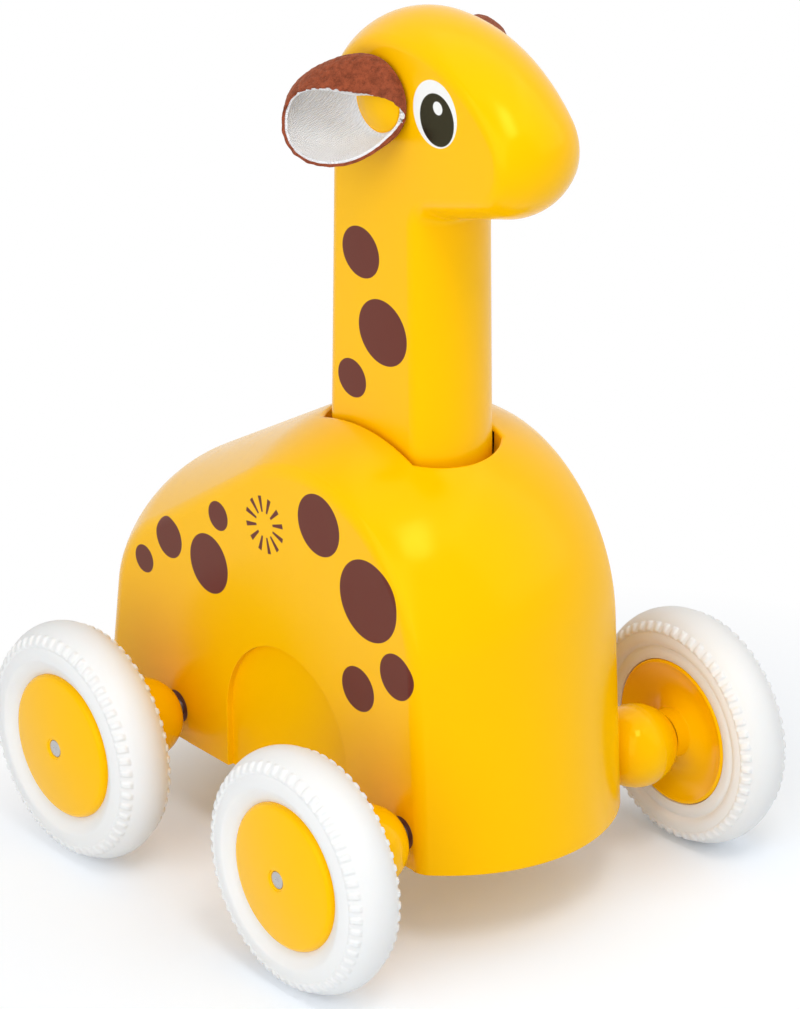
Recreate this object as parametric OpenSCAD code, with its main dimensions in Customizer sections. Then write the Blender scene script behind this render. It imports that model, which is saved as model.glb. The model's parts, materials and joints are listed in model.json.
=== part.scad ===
// Press-and-go giraffe: pushing the neck down turns the rear wheels through a rack and gears.
// Millimetres, +Z up. The toy faces -Y, its wheels stand on z = 0 and x = 0 is its mirror plane.

/* [Wheels] */
// Outer radius of a tyre, at its crown
tyre_r = 22; // [20:0.5:24]
// Width of a tyre
tyre_w = 11.2; // [10.4:0.2:12.4]
// Height of the tread teeth
tread_h = 0.7; // [0.4:0.1:1]
// Width of a row of tread teeth
tread_w = 1.4; // [1.2:0.1:2]
// Distance of the middle of a row of tread teeth from the side of its tyre
tread_in = 1.4; // [1:0.1:1.8]
// Number of tread teeth in one row
tread_n = 56; // [40:4:64]
// Distance between the two axles
wheelbase = 64.4; // [60:0.2:70]
// Distance from a ball's centre to the middle of its wheel
ball_to_wheel = 13.2; // [12.8:0.1:14]
// Radius of the hub disc that the tyre sits on
hub_r = 13.1; // [11:0.1:14]
// Thickness of a hub at its edge
hub_w = 9.4; // [8.8:0.1:10.4]
// How far a hub's outer face is domed
hub_dome = 1.5; // [0.8:0.1:2]
// Depth of the dish in a hub's inner face
hub_dish = 1.9; // [1.2:0.1:2.4]
// Radius of an axle
axle_r = 1.6; // [1.2:0.1:2]
// Radius of a ball spacer
ball_r = 7.6; // [7:0.1:8]

/* [Body] */
// Width of the body
body_w = 46; // [44:0.5:50]
// Height of the body's underside over the floor
body_z = 16; // [13:0.5:16.5]
// Thickness of the body's wall
wall = 2.8; // [2.2:0.1:3.2]
// How far the front, rump and rear bulge across the width
crown = 10; // [8:0.5:12]
// How far the dome bulges across the width
dome_crown = 8.3; // [7:0.1:9.5]
// Rounding along the body's side edges
body_edge = 4; // [2:0.5:5]
// Radius of the dome on the side face
dome_r = 30.3; // [28:0.1:33]
// Height of the dome's centre
dome_z = 50.4; // [48:0.2:53]
// Distance of the dome's centre ahead of the middle of the wheelbase
dome_ahead = 6; // [4:0.5:8]
// Radius of the rump on the side face
rump_r = 20.8; // [19:0.1:22]
// Height of the rump's centre
rump_z = 37.6; // [36:0.2:40]
// Distance of the rump's centre behind the middle of the wheelbase
rump_behind = 29; // [27:0.5:31]
// Reach of the side face ahead of the front axle, at the underside
front_reach = 5.2; // [4.8:0.1:7]
// Reach of the side face behind the rear axle, at the underside
rear_reach = 20.9; // [19:0.1:24]
// Half width of the arched panel in each side
arch_r = 17; // [14:0.5:18]
// Height of the arched panel's top
arch_top = 44.8; // [40:0.2:48]
// Depth of the arched panel
arch_depth = 1.2; // [0.6:0.1:1.6]
// Thickness of the base plate
plate_h = 2.5; // [2:0.1:3.5]

/* [Neck and head] */
// Width of the neck and head between their flat sides
neck_w = 18; // [17:0.2:19]
// How far the front and back of the neck and head bulge
neck_crown = 3.8; // [3:0.1:4.5]
// Rounding along the edges of the neck and head
neck_edge = 3; // [2:0.25:4]
// Front of the neck's flat side, ahead of the middle of the wheelbase
neck_front = 18; // [17:0.1:19]
// Back of the neck's flat side, behind the middle of the wheelbase
neck_back = 4.3; // [3.5:0.1:5]
// Narrowing of the neck at its front and at its back, over its length
neck_taper = 1.2; // [0.6:0.1:2]
// Gap between the neck and its opening
neck_gap = 0.8; // [0.6:0.1:1]
// Extra gap at the front of the opening
neck_gap_front = 0.5; // [0:0.1:1]
// Height of the lower end of the well that guides the neck
well_z = 62.3; // [60:0.1:64]
// How far the neck can be pressed down
travel = 20; // [16:0.5:21]
// Radius of the back of the head on its flat side
head_r = 13.2; // [12:0.1:14.5]
// Height of the centre of the back of the head
head_z = 142.3; // [138:0.1:148]
// Distance of that centre ahead of the middle of the wheelbase
head_ahead = 9.2; // [8:0.1:10.5]
// Radius of the crest and the brow of the head on their flat side
crest_r = 12.2; // [11:0.1:13.2]
// Height of the crest's centre over the centre of the back of the head
crest_up = 2.9; // [2:0.1:4]
// Distance of the crest's centre ahead of the centre of the back of the head
crest_ahead = 4.4; // [3:0.1:6]
// Height of the brow's centre over the centre of the back of the head
brow_up = 1.2; // [0.4:0.1:2]
// Distance of the brow's centre ahead of the centre of the back of the head
brow_ahead = 12.9; // [11:0.1:15]
// Radius of the muzzle on its flat side
muzzle_r = 7.5; // [6.5:0.1:8.5]
// How far the muzzle's centre lies below the centre of the back of the head
muzzle_drop = 0.8; // [0:0.1:3]
// Distance from the centre of the back of the head to the muzzle's centre
muzzle_reach = 23.2; // [20:0.1:26]

/* [Ears] */
// Radius of an ear peg's round head
peg_head_r = 5.6; // [5:0.1:6]
// Thickness of an ear peg's head
peg_head_w = 1.2; // [1:0.1:1.6]
// Radius of an ear peg's shank
peg_r = 2.2; // [1.6:0.1:2.4]
// Depth of an ear peg's shank in the head
peg_depth = 5; // [4:0.2:6]
// Thickness of the ear's felt
ear_t = 1; // [0.8:0.1:1.3]
// Height of the ear peg over the centre of the back of the head
ear_up = 4.5; // [3.5:0.1:5.5]
// Distance of the ear peg ahead of the centre of the back of the head
ear_ahead = 1.3; // [0.3:0.1:2.3]

/* [Drive] */
// Module of the gears
gear_m = 0.8; // [0.76:0.01:0.84]
// Pressure angle of the gear teeth
gear_angle = 25; // [23:0.5:26]
// Teeth of the pinion on the rack
pinion_n = 14; // [13:1:15]
// Teeth of the large gear beside the pinion
large_n = 30; // [28:1:31]
// Teeth of the idler
idler_n = 28; // [26:1:29]
// Teeth of the drive gear on the rear axle
drive_n = 10; // [10:1:11]
// Thickness of a gear
gear_w = 3.6; // [3:0.1:4]
// Width of the rack
rack_w = 6.4; // [5:0.2:6.8]
// Radius of the gear pins
pin_r = 1.5; // [1.2:0.1:1.8]
// Thickness of the gear frame's plates
frame_t = 2; // [1.6:0.1:2.4]
// Radius of the return spring, at the middle of its wire
spring_r = 4.6; // [4.2:0.1:5.2]
// Radius of the return spring's wire
spring_wire_r = 0.45; // [0.35:0.05:0.55]
// Number of turns of the return spring
spring_turns = 9; // [7:1:11]

/* [Fits] */
// Radial clearance of a running fit
run_gap = 0.05; // [0.03:0.01:0.08]
// Clearance of pieces that are set into each other and stay there
seat_gap = 0.15; // [0.05:0.05:0.25]
// Clearance of moving pieces that pass each other
pass_gap = 0.6; // [0.5:0.1:0.8]
// Clearance between a ball and the body's side
ball_gap = 0.4; // [0.35:0.05:0.6]
// Radius of a screw's shank
screw_r = 1.3; // [1:0.1:1.5]
// Radius of a screw's head
screw_head_r = 2.6; // [2.2:0.1:3]
// Height of a screw's head
screw_head_h = 1.4; // [1:0.1:1.6]
// Depth of a screw in the piece that holds its thread
screw_depth = 8; // [6:0.5:9]

/* [Hidden] */
$fn = 48;
// Steps round the rolls that the body, neck and head are stretched over
form_fn = 32;
yellow = [1, 0.77, 0.02];
white = [0.96, 0.95, 0.93];
nylon = [0.93, 0.92, 0.88];
steel = [0.75, 0.76, 0.78];
left = 1;
right = -1;
// Bare clearance of pieces that are pressed together, and overlap of shapes that make one solid
tiny = 0.01;
// How far a cut runs past the face that it opens
over = 1;

// Frame: the middle of the wheelbase lies so that the whole box is centred on y = 0
half_w = body_w / 2;
body_front = wheelbase / 2 + front_reach + crown;
body_rear = wheelbase / 2 + rear_reach + crown;
front_most = max(wheelbase / 2 + tyre_r, body_front, head_ahead + muzzle_reach + muzzle_r + neck_crown);
rear_most = max(wheelbase / 2 + tyre_r, body_rear);
mid_y = (front_most - rear_most) / 2;
front_axle_y = mid_y - wheelbase / 2;
rear_axle_y = mid_y + wheelbase / 2;
axle_ys = [front_axle_y, rear_axle_y];
axle_z = tyre_r;

// Body: places of the rolls that its form is stretched over
foot_r = 8;
dome_y = mid_y - dome_ahead;
rump_y = mid_y + rump_behind;
front_foot_y = front_axle_y - front_reach + foot_r;
rear_foot_y = rear_axle_y + rear_reach - foot_r;
plate_top = body_z + plate_h;
// The front and rear walls lean inwards, so the plate keeps more clearance there
plate_gap = 0.5;
slot_r = axle_r + 1.55;

// Posts in the body that the base plate is screwed to
post_r = 3.4;
post_h = 16;
post_x = half_w - wall - post_r + screw_r / 2;
post_to_axle = 14.2;
post_to_rear = 4.1;
post_ys = [front_axle_y + post_to_axle, rear_axle_y + rear_reach - post_to_rear];

// Neck, its well in the body and the foot under it
neck_half = neck_w / 2;
well_half = neck_half + neck_gap;
well_wall = 1.8;
well_front = mid_y - neck_front - neck_gap - neck_gap_front;
well_back = mid_y + neck_back + neck_gap;
well_crown = neck_crown + neck_gap;
well_rear = well_back + well_crown + well_wall;
well_cap_r = dome_r + (dome_crown - wall + crown_at(well_half + well_wall, half_w, dome_crown)) / 2;
stop_gap = 0.3;
neck_z = well_z - stop_gap;
foot_h = 4.5;
foot_bottom = neck_z - foot_h;
foot_w = 2 * (well_half + well_wall);
foot_front = well_front - well_wall;
foot_back = mid_y + neck_back;
spring_y = mid_y + (neck_back - neck_front) / 2;
spring_post_h = 12;
spigot_r = spring_r - spring_wire_r - pass_gap;
spigot_h = 3;
plunger_screw_ys = [for (s = [-1, 1]) spring_y + s * (spring_r + spring_wire_r + screw_head_r + pass_gap)];

// Gear train: tooth sizes, pitch radii and the places of the pins in the side view
tooth_tip = 0.8 * gear_m;
tooth_root = gear_m;
tooth_slack = 0.12;
pinion_pr = gear_m * pinion_n / 2;
large_pr = gear_m * large_n / 2;
idler_pr = gear_m * idler_n / 2;
drive_pr = gear_m * drive_n / 2;
rack_back = 3.6;
rack_reach = 3.8 * gear_m;
rack_head_gap = 0.5;
rack_y = well_rear + pass_gap + rack_back + tooth_root;
dome_in_r = dome_r - shrink_in(dome_crown, wall)
    + crown_at(rack_w / 2, half_w - wall, rise_in(dome_crown, wall));
rack_room_z = dome_z + sqrt(pow(dome_in_r, 2) - pow(rack_y + tooth_tip - dome_y, 2)) - rack_head_gap;
// The pinion is as high as the dome leaves room for the rack and the gears reach from the axle
train_slack = 1;
train_reach = large_pr + 2 * idler_pr + drive_pr - train_slack;
pinion_y = rack_y + pinion_pr;
train_reach_z = axle_z + sqrt(pow(train_reach, 2) - pow(pinion_y - rear_axle_y, 2));
pinion_z = min(rack_room_z - rack_reach - travel, train_reach_z);
rack_top = pinion_z + rack_reach + travel;
rack_bottom = pinion_z - rack_reach;
axle_to_pinion = [pinion_y - rear_axle_y, pinion_z - axle_z];
train_d = norm(axle_to_pinion);
train_u = axle_to_pinion / train_d;
train_a = (pow(idler_pr + drive_pr, 2) - pow(large_pr + idler_pr, 2) + train_d * train_d) / (2 * train_d);
train_h = sqrt(pow(idler_pr + drive_pr, 2) - train_a * train_a);
idler_y = rear_axle_y + train_a * train_u[0] + train_h * train_u[1];
idler_z = axle_z + train_a * train_u[1] - train_h * train_u[0];
pinion_phase = 180;
large_to_idler = atan2(idler_z - pinion_z, idler_y - pinion_y);
idler_to_drive = atan2(axle_z - idler_z, rear_axle_y - idler_y);
idler_phase = mesh_phase(pinion_phase, large_n, idler_n, large_to_idler);
drive_phase = mesh_phase(idler_phase, idler_n, drive_n, idler_to_drive);

// Places of the gears and of the one-way clutch along their pins
gear_x = rack_w / 2 + 2 * pass_gap;
cup_x = gear_x + gear_w + pass_gap / 2;
cup_w = 3.4;
cup_floor = 0.8;
cup_r = drive_pr + tooth_tip + 0.2;
ratchet_r = cup_r - 0.8;
ratchet_h = 0.5;
ratchet_n = 12;
ratchet_steep = 0.92;
pawl_r = ratchet_r - ratchet_h - 0.35;
carrier_r = axle_r + 0.8;
boss_r = pin_r + 1.2;

// Frame that carries the gears, from the inner faces of its two plates
frame_left_x = cup_x + cup_w + 2 * pass_gap;
frame_right_x = -rack_w / 2 - 3 * pass_gap;
frame_margin = 4.4;
frame_foot = 11;
frame_shoulder = 4;
frame_tab = half_w - wall - seat_gap - frame_left_x - frame_t;
frame_tab_h = 3;
frame_tab_half = 3;
frame_tab_to_axle = 8;
frame_tab_ys = [for (s = [-1, 1]) rear_axle_y + s * frame_tab_to_axle];
frame_tab_xs = [half_w - wall - seat_gap - screw_head_r, frame_right_x - frame_t - frame_tab / 2];

// Bushes of the axles in the slots of the body's sides, their flanges midway to the gear frame
bush_r = slot_r - seat_gap;
bush_flange_r = bush_r + 1.4;
bush_flange_w = 1.2;
bush_in = (half_w - wall - frame_left_x - frame_t - bush_flange_w) / 2;
bush_sunk = 0.4;
bush_x = half_w - wall - bush_in;
bush_w = half_w - bush_x - bush_sunk;

// Ears: radius and standing-out of the felt's rings, as [mean, rear, up, rear-and-front, diagonal]
ear_y = mid_y - head_ahead - ear_ahead;
ear_z = head_z + ear_up;
ear_hole_r = peg_r + 0.4;
ear_flat_r = [peg_head_r + 0.8, 0.7, 0, 0, 0];
ear_mid_r = [8.65, 1.95, -0.35, 1.05, -0.65];
ear_mid_out = [3.75, 3.4, 0.35, 1.2, -0.35];
ear_rim_r = [7.15, 1, -3.5, 0.9, -0.7];
ear_rim_out = [8.7, 4.85, -1.55, -0.15, -0.7];
ear_steps = 28;
peg_dome_r = 2.5 * peg_head_r;

// Wheels: places along the axle
ball_x = half_w + ball_gap + ball_r;
ball_bore_r = axle_r + seat_gap;
wheel_x = ball_x + ball_to_wheel;
rim_step = 0.3;
rim_r = hub_r + rim_step;
rim_w = 1.9;
hub_face = hub_w / 2 + hub_dome;
pin_recess = 0.25;
axle_end_x = wheel_x + hub_face - pin_recess;

// Radius of an arc of a given half width and rise
function arc_radius(half, rise) = (half * half + rise * rise) / (2 * rise);
// Height of such an arc over its ends, at a distance x from its middle
function crown_at(x, half, rise) =
    sqrt(pow(arc_radius(half, rise), 2) - x * x) - arc_radius(half, rise) + rise;
// Rise of a crown of the body at a depth inside it, and how much its roll shrinks there
function rise_in(rise, inset) = rise * pow((half_w - inset) / half_w, 2);
function shrink_in(rise, inset) = inset + rise_in(rise, inset) - rise;
// Turn of a gear that meshes with another one, seen from there in the direction dir
function mesh_phase(phase, n_from, n_to, dir) = dir + 180 + 180 / n_to - (phase - dir) * n_from / n_to;
// Involute angle at radius r from base radius rb, in degrees
function involute(rb, r) = r <= rb ? 0 : sqrt(pow(r / rb, 2) - 1) * 180 / PI - acos(rb / r);
// A ring's value at angle a from its five terms
function ring_at(t, a) = t[0] + t[1] * cos(a) + t[2] * sin(a) + t[3] * cos(2 * a) + t[4] * sin(2 * a);

// Half outline of a roll: its crowned tread and its rounded edge, as [radius, place along the axis]
function roll_side(r, half, rise, edge) =
    let (big = arc_radius(half, rise), edge_x = half - edge,
         edge_c = sqrt(pow(big - edge, 2) - edge_x * edge_x) - big + rise,
         turn = asin(edge_x / (big - edge)), steps = 6, edge_steps = 3)
    concat([for (k = [0:steps]) let (a = turn * k / steps) [r + big * cos(a) - big + rise, big * sin(a)]],
           [for (k = [1:edge_steps]) let (a = turn + (90 - turn) * k / edge_steps)
               [r + edge_c + edge * cos(a), edge_x + edge * sin(a)]]);

// Lays a shape drawn in x and y out in the side view, with its thickness along +X from x
module side_view(x, y, z) translate([x, y, z]) rotate([90, 0, 90]) children();

// Mirrors a piece that is drawn on the left to the wanted side
module on_side(side) mirror([side == right ? 1 : 0, 0, 0]) children();

module both_sides() {
    children();
    mirror([1, 0, 0]) children();
}

// A roll across the toy, with a crowned tread and rounded edges
module roll(y, z, r, half, rise, edge) {
    side = roll_side(r, half, rise, edge);
    other = [for (k = [len(side) - 1:-1:1]) [side[k][0], -side[k][1]]];
    translate([0, y, z]) rotate([0, 90, 0])
        rotate_extrude($fn = form_fn) polygon(concat([[0, -half]], other, side, [[0, half]]));
}

// The body's outer form, or its hollow where inset is the wall
module body_form(inset) {
    half = half_w - inset;
    rise = rise_in(crown, inset);
    dome_rise = rise_in(dome_crown, inset);
    small_r = foot_r - shrink_in(crown, inset);
    hull() {
        roll(dome_y, dome_z, dome_r - shrink_in(dome_crown, inset), half, dome_rise, body_edge);
        roll(rump_y, rump_z, rump_r - shrink_in(crown, inset), half, rise, body_edge);
        roll(front_foot_y, body_z, small_r, half, rise, body_edge);
        roll(rear_foot_y, body_z, small_r, half, rise, body_edge);
    }
}

// Cross-section with flat sides and round front and back, between the ends of its flat sides
module flat_sided(half, front, back, rise) {
    r = arc_radius(half, rise);
    intersection() {
        union() {
            translate([0, front + r - rise]) circle(r);
            translate([0, back - r + rise]) circle(r);
            translate([-half, front + r - rise]) square([2 * half, back - front - 2 * (r - rise)]);
        }
        translate([-half, front - rise]) square([2 * half, back - front + 2 * rise]);
    }
}

// The base plate's outline: the body's hollow at its underside, less the plate's clearance
module plate_outline() {
    inner_r = foot_r - shrink_in(crown, wall) - plate_gap;
    side = roll_side(inner_r, half_w - wall - seat_gap, rise_in(crown, wall), body_edge);
    last = len(side) - 1;
    across = concat([for (k = [last:-1:1]) [-side[k][1], side[k][0]]], [for (p = side) [p[1], p[0]]]);
    polygon(concat([for (p = across) [p[0], front_foot_y - p[1]]],
        [for (k = [len(across) - 1:-1:0]) [across[k][0], rear_foot_y + across[k][1]]]));
}

// Slot for an axle's bush in the body's side, from its underside up
module axle_slot(y) {
    slot_x = half_w - wall - over;
    slot_w = wall + 2 * over;
    side_view(slot_x, y, axle_z) cylinder(h = slot_w, r = slot_r);
    translate([slot_x, y - slot_r, body_z - over]) cube([slot_w, 2 * slot_r, axle_z - body_z + over]);
}

// Arched panel sunk in the body's side
module arch_panel() {
    panel_x = half_w - arch_depth;
    side_view(panel_x, mid_y, arch_top - arch_r) cylinder(h = arch_depth + over, r = arch_r);
    translate([panel_x, mid_y - arch_r, body_z - over])
        cube([arch_depth + over, 2 * arch_r, arch_top - arch_r - body_z + over]);
}

module body_shell() color(yellow) difference() {
    union() {
        difference() {
            intersection() {
                body_form(0);
                translate([-half_w, mid_y - body_front - over, body_z])
                    cube([body_w, body_front + body_rear + 2 * over, dome_z + dome_r + dome_crown]);
            }
            body_form(wall);
        }
        intersection() {
            translate([0, 0, well_z]) linear_extrude(dome_z) flat_sided(
                well_half + well_wall, well_front - well_wall, well_back + well_wall, well_crown);
            side_view(-half_w, dome_y, dome_z) cylinder(h = body_w, r = well_cap_r);
        }
        both_sides() for (y = post_ys) translate([post_x, y, plate_top]) cylinder(h = post_h, r = post_r);
    }
    translate([0, 0, well_z - over])
        linear_extrude(dome_z) flat_sided(well_half, well_front, well_back, well_crown);
    both_sides() {
        for (y = axle_ys) axle_slot(y);
        arch_panel();
        for (y = post_ys) translate([post_x, y, plate_top - over])
            cylinder(h = screw_depth + 2 * over, r = screw_r + run_gap);
    }
}

// Screw from below whose head starts at z, with a cross slot in it
module screw(x, y, z, length) translate([x, y, z]) difference() {
    slot_half = 0.35;
    slot_long = 0.6 * screw_head_r;
    union() {
        cylinder(h = screw_head_h, r = screw_head_r);
        cylinder(h = length, r = screw_r);
    }
    for (a = [0, 90]) rotate(a) translate([-slot_long, -slot_half, -over])
        cube([2 * slot_long, 2 * slot_half, over + screw_head_h / 2]);
}

// Hole for such a screw through a plate, with a seat for its head
module screw_hole(x, y, z, thick) translate([x, y, z - over]) {
    cylinder(h = thick + 2 * over, r = screw_r + seat_gap);
    cylinder(h = over + screw_head_h, r = screw_head_r + seat_gap);
}

module base_plate() color(yellow) difference() {
    union() {
        translate([0, 0, body_z]) linear_extrude(plate_h) plate_outline();
        both_sides() for (y = axle_ys) translate([bush_x, y - bush_r, body_z])
            cube([bush_w + bush_sunk / 2, 2 * bush_r, axle_z - body_z]);
        translate([0, spring_y, body_z]) cylinder(h = plate_h + spring_post_h, r = spigot_r);
    }
    both_sides() for (y = axle_ys) {
        side_view(bush_x - over, y, axle_z) cylinder(h = half_w, r = bush_r + run_gap);
        side_view(bush_x - bush_flange_w - seat_gap, y, axle_z)
            cylinder(h = bush_flange_w + 2 * seat_gap, r = bush_flange_r + seat_gap);
    }
    side_view(gear_x - pass_gap, rear_axle_y, axle_z)
        cylinder(h = frame_left_x - gear_x + pass_gap, r = cup_r + pass_gap);
    both_sides() for (y = post_ys) screw_hole(post_x, y, body_z, plate_h);
    for (x = frame_tab_xs, y = frame_tab_ys) screw_hole(x, y, body_z, plate_h);
}

module base_screws() color(steel) both_sides() for (y = post_ys)
    screw(post_x, y, body_z, plate_h + screw_depth);

module frame_screws() color(steel) for (x = frame_tab_xs, y = frame_tab_ys)
    screw(x, y, body_z, plate_h + frame_tab_h);

// One plate of the gear frame, with tabs at tab_x that are screwed to the base plate
module gear_frame(x, tab_x) color(nylon) difference() {
    union() {
        side_view(x, 0, 0) linear_extrude(frame_t) polygon([
            [rear_axle_y - frame_foot, plate_top],
            [rear_axle_y + frame_foot, plate_top],
            [rear_axle_y + frame_foot, axle_z + frame_shoulder],
            [idler_y + frame_margin, idler_z],
            [pinion_y + frame_margin, pinion_z + frame_margin],
            [pinion_y - frame_margin, pinion_z + frame_margin],
            [pinion_y - frame_margin, pinion_z - frame_margin]]);
        for (y = frame_tab_ys) translate([tab_x, y - frame_tab_half, plate_top])
            cube([frame_tab + tiny, 2 * frame_tab_half, frame_tab_h]);
    }
    side_view(x - over, rear_axle_y, axle_z) cylinder(h = frame_t + 2 * over, r = axle_r + pass_gap);
    for (p = [[pinion_y, pinion_z], [idler_y, idler_z]])
        side_view(x - over, p[0], p[1]) cylinder(h = frame_t + 2 * over, r = pin_r + tiny);
    for (tx = frame_tab_xs, y = frame_tab_ys)
        translate([tx, y, plate_top - over]) cylinder(h = frame_tab_h + 2 * over, r = screw_r + run_gap);
}

module gear_frame_left() gear_frame(frame_left_x, frame_left_x + frame_t - tiny);
module gear_frame_right() gear_frame(frame_right_x - frame_t, frame_right_x - frame_t - frame_tab);

// Steel pin through both plates of the gear frame
module gear_pin(y, z) color(steel) side_view(frame_right_x - frame_t, y, z)
    cylinder(h = frame_left_x - frame_right_x + 2 * frame_t, r = pin_r);

module pinion_pin() gear_pin(pinion_y, pinion_z);
module idler_pin() gear_pin(idler_y, idler_z);

// A gear's outline with involute teeth, a tooth's middle along +X
module gear_outline(n) {
    pr = gear_m * n / 2;
    rb = pr * cos(gear_angle);
    tip = pr + tooth_tip;
    low = max(rb, pr - tooth_root);
    steps = 4;
    half_tooth = 90 / n - tooth_slack / pr * 90 / PI + involute(rb, pr);
    flank = concat([[pr - tooth_root, half_tooth - involute(rb, low)]],
        [for (k = [0:steps]) let (r = low + (tip - low) * k / steps) [r, half_tooth - involute(rb, r)]]);
    last = len(flank) - 1;
    polygon([for (i = [0:n - 1], s = [-1, 1], k = [0:last])
        let (f = flank[s < 0 ? k : last - k], a = 360 * i / n + s * f[1]) f[0] * [cos(a), sin(a)]]);
}

// Boss of a gear on its pin, from one plate of the gear frame to the other
module gear_boss(y, z) side_view(frame_right_x + seat_gap, y, z)
    cylinder(h = frame_left_x - frame_right_x - 2 * seat_gap, r = boss_r);

// Running bore of a gear on its pin
module gear_bore(y, z) side_view(frame_right_x, y, z)
    cylinder(h = frame_left_x - frame_right_x, r = pin_r + run_gap);

module compound_gear() color([0.85, 0.2, 0.15]) difference() {
    union() {
        side_view(-rack_w / 2, pinion_y, pinion_z)
            linear_extrude(gear_x + rack_w / 2 + tiny) rotate(pinion_phase) gear_outline(pinion_n);
        side_view(gear_x, pinion_y, pinion_z)
            linear_extrude(gear_w) rotate(pinion_phase) gear_outline(large_n);
        gear_boss(pinion_y, pinion_z);
    }
    gear_bore(pinion_y, pinion_z);
}

module idler_gear() color([0.2, 0.45, 0.8]) difference() {
    union() {
        side_view(gear_x, idler_y, idler_z)
            linear_extrude(gear_w) rotate(idler_phase) gear_outline(idler_n);
        gear_boss(idler_y, idler_z);
    }
    gear_bore(idler_y, idler_z);
}

// Saw teeth of the clutch, pointing inwards in the drive gear's cup
module ratchet_ring() difference() {
    circle(cup_r);
    polygon([for (i = [0:ratchet_n - 1], k = [0, 1])
        let (a = 360 * (i + k * ratchet_steep) / ratchet_n) (ratchet_r - k * ratchet_h) * [cos(a), sin(a)]]);
}

module drive_gear() color([0.95, 0.75, 0.2]) difference() {
    union() {
        side_view(gear_x, rear_axle_y, axle_z)
            linear_extrude(cup_x - gear_x + tiny) rotate(drive_phase) gear_outline(drive_n);
        side_view(cup_x, rear_axle_y, axle_z) cylinder(h = cup_floor, r = cup_r);
        side_view(cup_x, rear_axle_y, axle_z) linear_extrude(cup_w) ratchet_ring();
    }
    side_view(gear_x - over, rear_axle_y, axle_z) cylinder(h = cup_x - gear_x + cup_w, r = axle_r + run_gap);
}

// Carrier on the rear axle with two pawls that work in the drive gear's cup
module clutch_hub() color(nylon) difference() {
    pawl_tip = 40;
    pawl_back = 32;
    root_r = (axle_r + carrier_r) / 2;
    start_x = cup_x + cup_floor + seat_gap;
    side_view(start_x, rear_axle_y, axle_z) union() {
        cylinder(h = cup_x + cup_w - start_x, r = carrier_r);
        for (a = [0, 180]) rotate(a) linear_extrude(cup_x + cup_w - start_x) polygon([[0, carrier_r],
            pawl_r * [cos(pawl_tip), sin(pawl_tip)], pawl_r * [cos(pawl_back), sin(pawl_back)],
            root_r * [cos(pawl_back), sin(pawl_back)], [0, root_r]]);
    }
    side_view(cup_x, rear_axle_y, axle_z) cylinder(h = cup_w + over, r = axle_r + tiny);
}

// Bush that carries an axle in the body's side, held down by the base plate's tongue
module axle_bush(side, y) color([0.25, 0.25, 0.26]) on_side(side) side_view(bush_x, y, axle_z) difference() {
    union() {
        cylinder(h = bush_w, r = bush_r);
        translate([0, 0, -bush_flange_w]) cylinder(h = bush_flange_w + tiny, r = bush_flange_r);
    }
    translate([0, 0, -bush_flange_w - over])
        cylinder(h = bush_w + bush_flange_w + 2 * over, r = axle_r + run_gap);
}

module front_bush_left() axle_bush(left, front_axle_y);
module front_bush_right() axle_bush(right, front_axle_y);
module rear_bush_left() axle_bush(left, rear_axle_y);
module rear_bush_right() axle_bush(right, rear_axle_y);

// Return spring: a wire swept along a coil whose end turns lie close together
module return_spring() color(steel) {
    steps = 16;
    sides = 8;
    n = spring_turns * steps;
    low = plate_top + spring_wire_r + tiny;
    high = foot_bottom - spring_wire_r - tiny;
    end_rise = 2.3 * spring_wire_r;
    rise = [for (i = [0:n]) let (t = i / steps) t < 1 ? end_rise * t
        : t > spring_turns - 1 ? high - low - end_rise * (spring_turns - t)
        : end_rise + (high - low - 2 * end_rise) * (t - 1) / (spring_turns - 2)];
    points = [for (i = [0:n], k = [0:sides - 1])
        let (a = 360 * i / steps, b = 360 * k / sides, r = spring_r + spring_wire_r * cos(b))
        [r * cos(a), spring_y + r * sin(a), low + rise[i] + spring_wire_r * sin(b)]];
    walls = [for (i = [0:n - 1], k = [0:sides - 1])
        let (a = i * sides + k, b = i * sides + (k + 1) % sides) [a, b, b + sides, a + sides]];
    ends = [[for (k = [sides - 1:-1:0]) k], [for (k = [0:sides - 1]) n * sides + k]];
    polyhedron(points, concat(walls, ends));
}

// The neck stretched between four rolls, two below its lower end and two inside the head
module neck_form() hull() for (end = [[neck_z - 2 * neck_edge, 0], [head_z - 2 * neck_edge, neck_taper]]) {
    roll(mid_y - neck_front + neck_edge + end[1], end[0], neck_edge, neck_half, neck_crown, neck_edge);
    roll(mid_y + neck_back - neck_edge - end[1], end[0], neck_edge, neck_half, neck_crown, neck_edge);
}

module head_form() hull() {
    head_y = mid_y - head_ahead;
    roll(head_y, head_z, head_r, neck_half, neck_crown, neck_edge);
    roll(head_y - crest_ahead, head_z + crest_up, crest_r, neck_half, neck_crown, neck_edge);
    roll(head_y - brow_ahead, head_z + brow_up, crest_r, neck_half, neck_crown, neck_edge);
    roll(head_y - muzzle_reach, head_z - muzzle_drop, muzzle_r, neck_half, neck_crown, neck_edge);
}

module neck_head() color(yellow) difference() {
    neck_long = neck_front + neck_back + 2 * (neck_crown + over);
    union() {
        intersection() {
            neck_form();
            translate([-neck_half, mid_y - neck_front - neck_crown - over, neck_z])
                cube([neck_w, neck_long, head_z]);
        }
        head_form();
    }
    both_sides() side_view(neck_half - peg_depth - tiny, ear_y, ear_z)
        cylinder(h = peg_depth + over, r = peg_r + run_gap);
    for (y = plunger_screw_ys)
        translate([0, y, neck_z - over]) cylinder(h = screw_depth + 2 * over, r = screw_r + run_gap);
}

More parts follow.
